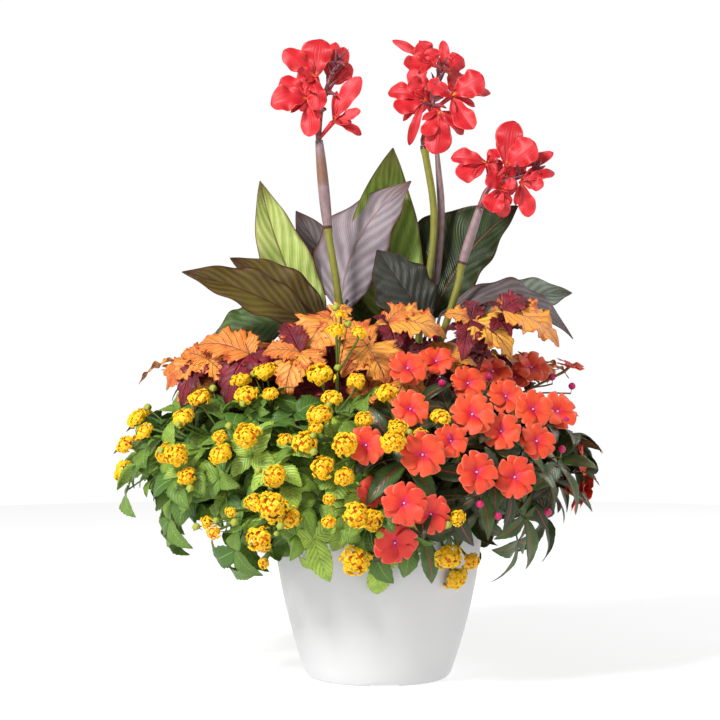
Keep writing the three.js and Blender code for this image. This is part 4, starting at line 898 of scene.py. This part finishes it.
def coleus_inside():
    """Places inside the coleus mound, below its top leaves, with the share of the mound they lie at."""
    centre, radii = COLEUS_MOUND
    places = []
    for i in range(COLEUS_INSIDE["tries"]):
        high = 1 - 2 * (i + 0.5) / COLEUS_INSIDE["tries"]
        flat = math.sqrt(1 - high**2)
        share = 0.5 + 0.42 * scatter(i, 21)
        way = i * GOLDEN_TURN
        toward = Vector((flat * math.cos(way), flat * math.sin(way), high))
        at = Vector([part * radius * share for part, radius in zip(toward, radii)]) + centre
        if COLEUS_INSIDE["lowest"] < at.z < COLEUS_INSIDE["highest"]:
            places.append((at, share, i))
    return places


def nearest_coleus(at):
    return min(
        range(len(coleus)), key=lambda k: (polar(COLEUS_R, coleus[k][0], 0).xy - at.xy * 0.4).length
    )


for number, (root_angle, shoots) in enumerate(coleus, 1):
    node = f"coleus_plant_{number}"
    corners = node_corners(node)
    foot = polar(COLEUS_R, root_angle, SOIL_TOP - ROOT_DEPTH)
    middle = sum((shoot[0] for shoot in shoots), Vector()) / len(shoots)
    fork = Vector((0.55 * middle.x + 0.45 * foot.x, 0.55 * middle.y + 0.45 * foot.y, COLEUS_FORK))
    rise = Vector((foot.x, foot.y, SOIL_TOP + 45))
    coleus_form = new_form()
    add_stalk(coleus_form, smooth_way([foot, rise, fork], 14), lambda share: COLEUS_STEM_R, 8, 2)
    for order, (end, axis, tips, widths, tints) in enumerate(shoots):
        tries = [
            (1 - 0.06 * (i // 4), end + axis * [0, 7, -7, 14, -14, 21, -21, 28][i % 8]) for i in range(12)
        ]
        size, at = min(
            tries, key=lambda one: missed(corners, [one[1] + (tip - end) * one[0] for tip in tips])
        )
        add_stalk(coleus_form, smooth_way([fork, fork.lerp(at, 0.5) + axis * -6, at], 8),
                  lambda share: 2.6, 6, 2)
        for j, tip in enumerate(tips):
            add_leaf(coleus_form, COLEUS_LEAF, at, at + (tip - end) * size, axis, widths[j] * size,
                     tints[j], j * 2.0)
        # Small new leaves at the whorl's heart, and wine red ones on the stem under it.
        for j in range(9):
            way = Quaternion(axis, j * 2.4 + order) @ axis.orthogonal().normalized()
            low = j % 3
            start = at - axis * (4 + 16 * low)
            small_tip = start + way * (26 + 13 * low) + axis * (10 - 9 * low)
            add_leaf(coleus_form, COLEUS_SMALL, start, small_tip, axis, 19 + 7 * low,
                     2 if low or j % 2 else draw(j, order))
    for at, share, i in coleus_inside():
        if nearest_coleus(at) != number - 1:
            continue
        tilt = Vector([scatter(i, k) - 0.5 for k in (22, 23, 24)]) * 0.9
        axis = (coleus_axis(at, -0.3) + tilt).normalized()
        level = axis.orthogonal().normalized()
        add_stalk(coleus_form, smooth_way([fork, fork.lerp(at, 0.5) - Vector((0, 0, 12)), at], 5),
                  lambda share: 2.0, 4, 2)
        for j in range(5):
            out = Quaternion(axis, j * 2 * math.pi / 5 + 6.28 * scatter(i, 25)) @ level
            length = 40 + 26 * scatter(i * 5 + j, 26)
            deep = share < 0.74 or scatter(i, 27) < 0.35
            add_leaf(coleus_form, COLEUS_SMALL, at, at + out * length + axis * (8 - 0.2 * length), axis,
                     0.74 * length, 2 if deep else scatter(i, 28))
    put_up(f"coleus_whorls_{number}", coleus_form, coleus_finish, [node], 0.7)

# Flower sprays. Impatiens blooms are flat, of five notched coral petals round a magenta eye. Lantana
# heads are domes of small yellow florets with orange throats. Each flower stands on a thin stalk from its
# spray's joint.
IMPATIENS_SPRAYS = [
    (0, [(436, 363, 34), (407, 370, 38), (410, 410, 36)]),
    (1, [(493, 371, 36), (468, 383, 35), (506, 396, 36)]),
    (1, [(515, 377, 28), (529, 371, 34), (570, 365, 27, -20)]),
    (1, [(537, 441, 36), (530, 412, 37), (558, 411, 39)]),
    (0, [(451, 441, 33), (501, 431, 38), (472, 416, 42), (422, 455, 43)]),
    (1, [(515, 477, 41), (477, 472, 40)]),
    (0, [(366, 445, 36), (372, 492, 30, -290), (431, 514, 38), (404, 503, 42), (395, 543, 42)]),
    (1, [(581, 457, 36, -40), (566, 477, 34, -70), (573, 495, 32, -60)]),
]
IMPATIENS_BACK_SPRAYS = [
    (2, [(14, 440, 62), (24, 372, 64), (12, 306, 60)]),
    (2, [(50, 440, 62), (44, 362, 64), (56, 300, 58)]),
    (2, [(76, 446, 58), (84, 375, 62), (70, 322, 60)]),
]
LANTANA_SPRAYS = [
    (0, [(138, 420, 20), (126, 445, 20), (145, 432, 19), (166, 453, 21)]),
    (0, [(200, 399, 22), (184, 418, 22), (187, 477, 19), (181, 461, 24)]),
    (0, [(241, 381, 19), (247, 396, 24), (266, 373, 24), (271, 394, 16)]),
    (0, [(220, 437, 15), (221, 454, 23), (248, 436, 27)]),
    (1, [(207, 522, 12), (216, 531, 15), (231, 512, 11), (264, 563, 12), (260, 539, 26)]),
    (1, [(254, 503, 19), (290, 517, 22), (277, 507, 30), (275, 476, 24)]),
    (1, [(321, 375, 28), (332, 399, 20), (320, 415, 24), (357, 382, 19)]),
    (1, [(336, 331, 17, -214), (359, 333, 15, -214), (341, 317, 11, -206)]),
    (1, [(285, 440, 14), (315, 430, 15), (305, 445, 24)]),
    (2, [(344, 477, 20), (323, 468, 24), (346, 453, 26), (364, 422, 18)]),
    (2, [(329, 499, 12), (329, 522, 14), (372, 520, 22), (357, 518, 26), (356, 560, 30)]),
    (2, [(387, 394, 22), (397, 429, 21), (421, 436, 16), (440, 422, 20), (394, 453, 25)]),
    (2, [(458, 518, 16), (471, 561, 17), (456, 578, 25), (448, 557, 27)]),
]
LANTANA_BACK_SPRAYS = [
    (3, [(172, 425, 40), (168, 335, 40), (158, 385, 44)]),
    (3, [(140, 432, 42), (148, 335, 40), (132, 375, 44)]),
    (3, [(112, 440, 42), (108, 350, 44), (98, 395, 40)]),
]
IMPATIENS_PLANTS, LANTANA_PLANTS, PLANT_R = [308, 345, 45], [200, 243, 277, 132], 122
# Pink buds of the impatiens: the spray each belongs to, and its picture point.
IMPATIENS_BUDS = [
    (1, 436, 338), (2, 489, 377), (1, 442, 383), (4, 449, 437), (3, 552, 377), (3, 572, 386),
    (8, 562, 449), (6, 480, 504), (6, 498, 516), (8, 548, 512), (4, 566, 420), (1, 426, 344),
]
FLOWER_MOUND = (Vector((-35, -20, 345)), Vector((400, 310, 200)))
STALK_R, KNOT_R = 1.3, 5
CROWN = {"impatiens": -0.12, "lantana": 0.6}
flowers_set = []


def settle(flower):
    """Pushes a new flower out along its own axis until it lies clear on those set before it."""
    for _ in range(12):
        crowded = False
        for other in flowers_set:
            between = flower["at"] - other["at"]
            along = abs(between.dot(other["axis"]))
            across = math.sqrt(max(0, between.length_squared - along**2))
            reach = flower["radius"] + other["radius"]
            if across < 0.94 * reach and along < min(flower["depth"] + other["depth"], 0.9 * reach):
                crowded = True
        if not crowded:
            break
        flower["at"] += flower["axis"] * 4
    flowers_set.append(flower)


def flowers_of(places, kind, back):
    flat = kind == "impatiens"
    made = []
    for place in places:
        if back:
            at, width, to_eye = round_mound(FLOWER_MOUND, place[0], place[1]), place[2], 0
        else:
            given_depth = len(place) > 3
            if given_depth:
                at = seen(place[0], place[1], place[3])
            else:
                at = on_mound(FLOWER_MOUND, *place[:2])
            width = place[2] * MM_PER_PIXEL * (at.y - EYE.y) / -EYE.y
            to_eye = 0 if given_depth and flat else 1
        made.append((at, width, to_eye))
    flowers = []
    for at, width, to_eye in made:
        count = len(flowers_set)
        axis = outward(FLOWER_MOUND, at) * (0.6 if flat else 0.75)
        axis += Vector((0, (-0.75 if flat else -0.15) * to_eye, 0.1 if flat else 0.4))
        axis += Vector([draw(count, k) - 0.5 for k in range(3)]) * 0.3
        flower = {
            "at": at, "axis": axis.normalized(), "radius": width / 2,
            "depth": 6 if flat else 0.45 * width, "spin": draw(count, 3) * 2 * math.pi,
        }
        settle(flower)
        flowers.append(flower)
    return flowers


def place_spray(node, places, root_angle, kind, back):
    """A spray's flowers and its joint, where its solid has them."""
    corners = node_corners(node)
    flowers = flowers_of(places, kind, back)
    root = polar(PLANT_R, root_angle, 0)
    middle = sum((flower["at"] for flower in flowers), Vector()) / len(flowers)
    inward = Vector((1.1 * root.x, 1.1 * root.y, 372)) - middle
    depth = min(86, max(46, 0.36 * inward.length))
    inward.normalize()
    aside = inward.cross(Vector((0, 0, 1))).normalized()
    tries = []
    for i in range(9):
        dip = [0, 0.7, 1.6][i // 3]
        deeper = (inward + Vector((0, 0, -dip))).normalized()
        joint = middle + deeper * (depth - 8 * (dip > 0)) + aside * [0, 10, -10][i % 3]
        tries.append((missed(corners, [joint + deeper * KNOT_R]), i, joint, deeper))
    _, _, joint, deeper = min(tries)
    crowns = [flower["at"] + flower["axis"] * CROWN[kind] * flower["radius"] for flower in flowers]
    pushed = min(range(5), key=lambda n: missed(
        corners, [crown + flower["axis"] * 6 * n for crown, flower in zip(crowns, flowers)]
    ))
    for flower in flowers:
        flower["at"] += flower["axis"] * 6 * pushed
    return {"flowers": flowers, "joint": joint, "inward": deeper}


def heart_outline(share):
    if share >= 1:
        return 0.36
    return 0.2 + 0.8 * math.sin(math.pi * min(1, share * 0.96 + 0.04) ** 1.35) ** 0.55


IMPATIENS_PETAL = {
    "outline": heart_outline, "along": 10, "across": 8, "arch": 0.05, "fold": -0.08, "waves": 1.5,
    "wave_depth": 0.05, "notch": 0.24, "droop": 0.1,
}
impatiens_finish = Finish("coral petal", 0.55)
out, up = impatiens_finish.across_and_along()
petal_tint = impatiens_finish.tint()
satin = impatiens_finish.streaks(1.0, 20)
coral = impatiens_finish.mix(petal_tint, colour(228, 82, 38), colour(206, 26, 30))
coral = impatiens_finish.mix(satin.between(0.4, 0.7) * 0.5, coral, colour(198, 30, 26))
# Painted shade: each petal is darkened towards its base, where the petals meet round the eye.
coral = impatiens_finish.mix(1 - up.between(0.15, 0.6), coral, colour(202, 26, 26))
pale_edge = out.between(0.86, 1.0) * up.between(0.3, 0.6) * 0.6
coral = impatiens_finish.mix(pale_edge, coral, colour(244, 130, 96))
coral = impatiens_finish.mix(up.between(0.9, 1.0) * 0.5, coral, colour(244, 130, 96))
coral = impatiens_finish.mix(1 - up.between(0.08, 0.2), coral, colour(184, 24, 92))
coral = impatiens_finish.mix(petal_tint.between(1.4, 1.8), coral, colour(222, 164, 178))
coral = impatiens_finish.mix(petal_tint.between(2.4, 2.8), coral, colour(124, 92, 52))
impatiens_finish.set("Base Color", coral)
impatiens_finish.relief(satin, 0.7)


def add_impatiens_bloom(form, flower, joint, redness):
    at, axis, radius = flower["at"], flower["axis"], flower["radius"]
    up = Vector((0, 0, 1))
    across = up.rotation_difference(axis) @ (Quaternion(up, flower["spin"]) @ Vector((1, 0, 0)))
    heart = at + axis * -0.12 * radius
    for k in range(5):
        out = Quaternion(axis, (k + 0.1) * 2 * math.pi / 5) @ across
        above = axis * (0.9 * ((2 * k) % 5))
        twisted = Quaternion(out, 0.2) @ axis
        reach = 1.0 + 0.1 * draw(k, flower["spin"])
        tip = at + out * radius * reach + above * 0.6 + axis * (0.05 + 0.16 * draw(k, 13)) * radius
        add_leaf(form, IMPATIENS_PETAL, heart + above * 0.3, tip, twisted, 1.3 * radius,
                 redness + 0.14 * draw(k, 3), k * 1.3)
    eye = bmesh.ops.create_icosphere(form, subdivisions=1, radius=0.06 * radius)
    bmesh.ops.translate(form, verts=eye["verts"], vec=heart + axis * 2.6)
    tints = form.verts.layers.float["tint"]
    for vert in eye["verts"]:
        vert[tints] = 2
    below = heart - axis * 5
    add_stalk(form, smooth_way([heart - axis * 0.5, below, below.lerp(joint, 0.5), joint], 7),
              lambda share: 2.6 - 1.3 * share, 5, 3)


def add_impatiens_bud(form, at, joint):
    """A pink pointed bud on its bent stalk."""
    tints = form.verts.layers.float["tint"]
    bud = bmesh.ops.create_icosphere(form, subdivisions=2, radius=6)
    for vert in bud["verts"]:
        vert.co.z *= 1.25 if vert.co.z > 0 else 1.0
        vert.co.xy *= 1 - 0.5 * max(0, vert.co.z / 7.5) ** 1.5
        vert[tints] = 1.15
    bmesh.ops.rotate(form, verts=bud["verts"], matrix=Quaternion((1, 0, 0), 0.9).to_matrix())
    bmesh.ops.translate(form, verts=bud["verts"], vec=at)
    add_stalk(form, smooth_way([at, at + Vector((0, 4, -12)), at.lerp(joint, 0.5), joint], 7),
              lambda share: 1.3, 5, 3)


FLORETS, YOUNG_FLORETS, YOUNG_WIDTH = 34, 14, 15.5
lantana_finish = Finish("yellow floret", 0.6)
head_tint = lantana_finish.tint()
speckle = lantana_finish.grain(240, 3)
floret = lantana_finish.mix(speckle, colour(250, 184, 2), colour(252, 214, 22))
floret = lantana_finish.mix(head_tint.between(0.4, 0.95), floret, colour(240, 118, 6))
floret = lantana_finish.mix(head_tint.between(1.3, 1.6), floret, colour(150, 158, 54))
lantana_finish.set("Base Color", lantana_finish.mix(
    head_tint.between(2.2, 2.6), floret, colour(84, 104, 36)
))
lantana_finish.relief(speckle, 0.6)


def add_bud_ball(form, at, joint, radius):
    """A tight pale green cluster of unopened florets on its own stalk."""
    tints = form.verts.layers.float["tint"]
    ball = bmesh.ops.create_icosphere(form, subdivisions=2, radius=radius)
    for k, vert in enumerate(ball["verts"]):
        point = k < 12 or k % 3 == 0
        vert.co *= 1.25 if point else 0.78
        vert[tints] = 1.95 if point else 2.15
    bmesh.ops.translate(form, verts=ball["verts"], vec=at)
    add_stalk(form, smooth_way([at, at.lerp(joint, 0.5) - Vector((0, 0, 4)), joint], 6),
              lambda share: 0.9, 4, 3)


def add_lantana_head(form, flower, joint, young, warmth):
    at, axis, radius = flower["at"], flower["axis"], flower["radius"] * 1.05
    up = Vector((0, 0, 1))
    place = up.rotation_difference(axis).to_matrix().to_4x4()
    place.translation = at
    tints = form.verts.layers.float["tint"]
    core = bmesh.ops.create_icosphere(form, subdivisions=2, radius=0.62 * radius)
    bmesh.ops.scale(form, vec=(1, 1, 0.55), verts=core["verts"])
    bmesh.ops.transform(form, matrix=place, verts=core["verts"])
    for vert in core["verts"]:
        vert[tints] = 0.9
    count = YOUNG_FLORETS if young else FLORETS
    for k in range(count):
        high = 1 - 1.2 * (k + 0.5) / count
        flat = math.sqrt(1 - high**2)
        way = k * GOLDEN_TURN + flower["spin"] + 0.5 * draw(k, 14)
        out = Vector((flat * math.cos(way), flat * math.sin(way), high))
        size = radius * (0.22 + 0.1 * scatter(k, 9)) * (0.85 + 0.25 * (1 - high)) * (1.4 if young else 1)
        disc = bmesh.ops.create_circle(form, cap_ends=True, cap_tris=True, segments=8, radius=size)
        middle = min(disc["verts"], key=lambda vert: vert.co.length)
        for vert in disc["verts"]:
            vert[tints] = 0.3 * warmth + 0.2 * (1 - high) * warmth
            lobe = round(math.atan2(vert.co.y, vert.co.x) / math.pi * 4) % 2
            vert.co *= 0.68 if lobe else 1.14
            vert.co.z = (0.3 if lobe else -0.12) * size
        middle.co = Vector((0, 0, -0.3 * size))
        middle[tints] = 0.8
        tilt = Vector((scatter(k, 15) - 0.5, scatter(k, 16) - 0.5, 0)) * 0.9
        floret_turn = up.rotation_difference((out + tilt).normalized()).to_matrix().to_4x4()
        reach = radius * (0.7 + 0.32 * scatter(k + flower["spin"], 17))
        floret_turn.translation = Vector((out.x * reach, out.y * reach, out.z * reach * 0.78))
        bmesh.ops.transform(form, matrix=place @ floret_turn, verts=disc["verts"])
    neck = at - axis * 0.3 * radius
    add_stalk(form, smooth_way([neck, neck - axis * 6, neck.lerp(joint, 0.5) - axis * 3, joint], 7),
              lambda share: STALK_R + 0.8 * (1 - share), 5, 3)


sprays = {"impatiens": [], "lantana": []}
for kind, roots, front, back, finish in (
    ("impatiens", IMPATIENS_PLANTS, IMPATIENS_SPRAYS, IMPATIENS_BACK_SPRAYS, impatiens_finish),
    ("lantana", LANTANA_PLANTS, LANTANA_SPRAYS, LANTANA_BACK_SPRAYS, lantana_finish),
):
    for number, (plant, places) in enumerate([*front, *back], 1):
        node = f"{kind}_flowers_{number:02d}"
        spray = place_spray(node, places, roots[plant], kind, number > len(front))
        spray["plant"] = plant
        sprays[kind].append(spray)
        spray_form = new_form()
        for order, flower in enumerate(spray["flowers"]):
            if kind == "impatiens":
                low = (FLOWER_MOUND[0].z - flower["at"].z) / 260
                add_impatiens_bloom(spray_form, flower, spray["joint"], min(1, max(0, 0.35 + low)))
            else:
                young = number <= len(front) and places[order][2] < YOUNG_WIDTH
                add_lantana_head(spray_form, flower, spray["joint"], young, draw(order, number))
                sideways = Quaternion(flower["axis"], 6.28 * draw(order, 18)) @ flower["axis"].orthogonal()
                beside = flower["at"] + sideways.normalized() * (flower["radius"] + 9) + flower["axis"] * 5
                if scatter(order, number) < 0.45:
                    add_bud_ball(spray_form, beside, spray["joint"], 3.4 + 2.4 * scatter(order, 19))
        for owner, u, v in IMPATIENS_BUDS:
            if kind == "impatiens" and owner == number:
                add_impatiens_bud(spray_form, on_mound(FLOWER_MOUND, u, v), spray["joint"])
        put_up(f"{kind}_spray_{number:02d}", spray_form, finish, [node], 0.5)

# Impatiens and lantana plants. Branches from each root pass over the rim to the sprays, and leafy shoots
# fill the mound: narrow dark leaves with a red rib, and serrated mid green ones.
LEAVES_OF = {
    "impatiens": {"count": 4, "length": 72, "width": 27, "shoots": 58, "margin": -6, "inset": 32},
    "lantana": {"count": 3, "length": 54, "width": 33, "shoots": 66, "margin": -2, "inset": 14},
}


def lance_outline(share):
    return max(0.03, math.sin(math.pi * share**0.9) ** 0.9)


LEAF_FORMS = {
    "impatiens": {
        "outline": lance_outline, "along": 14, "across": 6, "arch": 0.08, "fold": 0.22, "waves": 2,
        "wave_depth": 0.03, "teeth": 7, "tooth_depth": 0.12, "droop": 0.14,
    },
    "lantana": {
        "outline": egg_outline, "along": 16, "across": 6, "arch": 0.1, "fold": 0.2, "waves": 2,
        "wave_depth": 0.03, "teeth": 8, "tooth_depth": 0.22, "droop": 0.16,
    },
}
SMALL_FORMS = {
    kind: {**form, "along": 8, "across": 4, "teeth": 4, "waves": 0, "fold": 0.14}
    for kind, form in LEAF_FORMS.items()
}

impatiens_leaf_finish = Finish("impatiens leaf", 0.42)
out, up = impatiens_leaf_finish.across_and_along()
leaf_tint = impatiens_leaf_finish.tint()
rough_patch = impatiens_leaf_finish.grain(40, 4)
side_vein = ((up * 9 - out * 3) * WAVE).sine()
green = impatiens_leaf_finish.mix(leaf_tint, colour(26, 48, 18), colour(68, 102, 38))
green = impatiens_leaf_finish.mix(rough_patch.between(0.35, 0.65) * 0.5, green, colour(36, 46, 22))
green = impatiens_leaf_finish.mix(side_vein.between(0.8, 1.0) * 0.35, green, colour(118, 128, 70))
green = impatiens_leaf_finish.mix(out.between(0.93, 1.0) * 0.6, green, colour(110, 48, 38))
impatiens_leaf_finish.set(
    "Base Color", impatiens_leaf_finish.mix(1 - out.between(0.03, 0.12), green, colour(150, 62, 52))
)
impatiens_leaf_finish.relief(1 - side_vein.between(0.6, 1.0), 1.0)

lantana_leaf_finish = Finish("lantana leaf", 0.55)
out, up = lantana_leaf_finish.across_and_along()
leaf_tint = lantana_leaf_finish.tint()
quilt = lantana_leaf_finish.grain(90, 3)
side_vein = ((up * 8 - out * 2.6) * WAVE).sine()
green = lantana_leaf_finish.mix(leaf_tint, colour(54, 94, 30), colour(166, 196, 72))
green = lantana_leaf_finish.mix(quilt.between(0.35, 0.7) * 0.4, green, colour(64, 100, 38))
green = lantana_leaf_finish.mix(side_vein.between(0.8, 1.0) * 0.3, green, colour(140, 170, 84))
lantana_leaf_finish.set(
    "Base Color", lantana_leaf_finish.mix(1 - out.between(0.015, 0.06), green, colour(128, 156, 70))
)
lantana_leaf_finish.relief(quilt * 0.5 - side_vein.between(0.6, 1.0), 1.6)


def mostly_lantana(at):
    return at.x < 30 - 0.25 * (at.z - 300) or (at.y < 0 and at.x < 70 and at.z < 300)


def nearest_flower(at):
    return min((flower["at"] - at).length - flower["radius"] for flower in flowers_set)


def nearest_plant(roots, at):
    return min(range(len(roots)), key=lambda k: (polar(PLANT_R, roots[k], 0).xy - at.xy).length)


def shoot_places(count, least, most, spread, keep):
    """Places spread evenly through the mound, between two shares of its size."""
    centre, radii = FLOWER_MOUND
    places = []
    for i in range(count):
        high = 1 - 2 * (i + 0.5) / count
        if high > 0.72 or high < -0.92:
            continue
        flat = math.sqrt(1 - high**2)
        angle = i * GOLDEN_TURN
        toward = Vector((flat * math.cos(angle), flat * math.sin(angle), high))
        share = least(angle) + most * spread(i)
        at = Vector([part * radius * share for part, radius in zip(toward, radii)]) + centre
        if keep(at):
            places.append((at, i))
    return places


def whorl_tips(at, i, attempt, leaves):
    """The middle, axis, tips and widths of a shoot's whorl at one attempt."""
    normal = outward(FLOWER_MOUND, at)
    axis = (normal * 0.8 + Vector((0, 0, 0.5))).normalized()
    level = axis.cross(Vector((0.3, 0.2, -1))).normalized()
    size = 1 - 0.12 * (attempt // 3)
    middle = at - normal * 5 * (attempt % 4)
    tips, widths = [], []
    for j in range(leaves["count"]):
        angle = draw(i, 5) * 6.28 + j / leaves["count"] * 2 * math.pi + attempt * 0.5
        out = Quaternion(axis, angle) @ level - axis * 0.12 + Vector((0, 0, -0.2))
        share = size * (0.82 + 0.36 * draw(i * 5 + j, 6))
        tips.append(middle + out * leaves["length"] * share)
        widths.append(leaves["width"] * share)
    return middle, axis, tips, widths


def add_shoot(form, leaf, middle, axis, tips, widths, tint, start):
    for j, tip in enumerate(tips):
        add_leaf(form, leaf, middle, tip, axis, widths[j] * 1.12, tint + 0.16 * (j % 3), j)
    add_stalk(form, [start, start.lerp(middle, 0.5), middle], lambda share: 1.5, 4, tint)


def clear_of_pot(at):
    return at.z > POT_HEIGHT + 12 or at.xy.length > pot_radius(min(at.z, POT_HEIGHT)) + 14


# The lower edge of the foliage in the photo, as points across it.
FOLIAGE_FOOT = [
    (110, 440), (128, 468), (160, 500), (190, 515), (225, 528), (262, 556), (310, 572), (350, 545),
    (378, 572), (425, 552), (470, 556), (505, 536), (550, 530), (600, 480),
]
FILLERS = {"tries": 620, "least": 0.6, "most": 0.33}


def within_foliage(at, inset):
    """Whether a place lies that far above the foliage's lower edge, as the photo sees it."""
    off = at - EYE
    ahead = off.y * math.cos(TILT) - off.z * math.sin(TILT)
    u = PICTURE_MIDDLE + FOCAL * off.x / ahead
    v = PICTURE_MIDDLE - FOCAL * (off.y * math.sin(TILT) + off.z * math.cos(TILT)) / ahead
    for (u1, v1), (u2, v2) in zip(FOLIAGE_FOOT, FOLIAGE_FOOT[1:]):
        if u1 <= u <= u2:
            return v < v1 + (v2 - v1) * (u - u1) / (u2 - u1) - inset
    return False


for kind, roots, finish in (
    ("lantana", LANTANA_PLANTS, lantana_leaf_finish),
    ("impatiens", IMPATIENS_PLANTS, impatiens_leaf_finish),
):
    leaves = LEAVES_OF[kind]
    own = mostly_lantana if kind == "lantana" else lambda at: not mostly_lantana(at)
    shoots = shoot_places(
        leaves["shoots"], lambda angle: 0.86 if math.sin(angle) < -0.2 else 0.9, 0.06,
        lambda i: draw(i, 4), lambda at: own(at) and nearest_flower(at) > leaves["margin"],
    )
    fillers = shoot_places(
        FILLERS["tries"], lambda angle: FILLERS["least"], FILLERS["most"], lambda i: scatter(i, 8),
        lambda at: own(at) and clear_of_pot(at) and within_foliage(at, leaves["inset"]),
    )
    for plant, root_angle in enumerate(roots):
        node = f"{kind}_plant_{plant + 1}"
        corners = node_corners(node)
        root = polar(PLANT_R, root_angle, SOIL_TOP - ROOT_DEPTH)
        fork = Vector((root.x, root.y, SOIL_TOP + 26))
        plant_form = new_form()
        add_stalk(plant_form, smooth_way([root, fork + Vector((0, 0, 5))], 4), lambda share: 4.5, 8)
        on_branches = []
        for spray in sprays[kind]:
            if spray["plant"] != plant:
                continue
            end = spray["joint"] + spray["inward"] * (KNOT_R + GAP)
            over = fork.lerp(end, 0.4) + polar(4, root_angle, 0)
            over.z = max(over.z, POT_HEIGHT + 42)
            branch = smooth_way([fork, over, end + spray["inward"] * 14, spray["joint"]], 20)
            on_branches.extend(branch[7:])
            add_stalk(plant_form, branch, lambda share: 3.3 - 0.9 * share, 6)
        for at, i in shoots:
            if nearest_plant(roots, at) != plant:
                continue
            tries = [whorl_tips(at, i, attempt, leaves) for attempt in range(12)]
            middle, axis, tips, widths = min(tries, key=lambda one: missed(corners, one[2]))
            start = min(on_branches, key=lambda point: (point - at).length)
            add_shoot(plant_form, LEAF_FORMS[kind], middle, axis, tips, widths, draw(i, 11), start)
        for at, i in fillers:
            if nearest_plant(roots, at) != plant:
                continue
            start = min(on_branches, key=lambda point: (point - at).length)
            axis = outward(FLOWER_MOUND, at) * 0.7 + Vector((0, 0, 0.4))
            axis += Vector([scatter(i, k) - 0.5 for k in (31, 32, 33)]) * 1.3
            axis.normalize()
            level = axis.orthogonal().normalized()
            add_stalk(plant_form, [start, start.lerp(at, 0.5), at], lambda share: 1.2, 4, 0.4)
            for j in range(4):
                turn = j * math.pi / 2 + 6.28 * scatter(i, 34) + 0.6 * scatter(i + j, 38)
                out = Quaternion(axis, turn) @ level
                length = leaves["length"] * (0.6 + 0.5 * scatter(i * 4 + j, 35))
                tip = at + out * length + axis * length * (0.35 - 0.6 * scatter(i + 7 * j, 36))
                width = leaves["width"] * length / leaves["length"] * 1.15
                bright = scatter(i, 37) * (0.5 + 0.5 * scatter(i + 3 * j, 39))
                add_leaf(plant_form, SMALL_FORMS[kind], at, tip, axis, width, bright, j)
        put_up(f"{kind}_leaves_{plant + 1}", plant_form, finish, [node], 0.6)
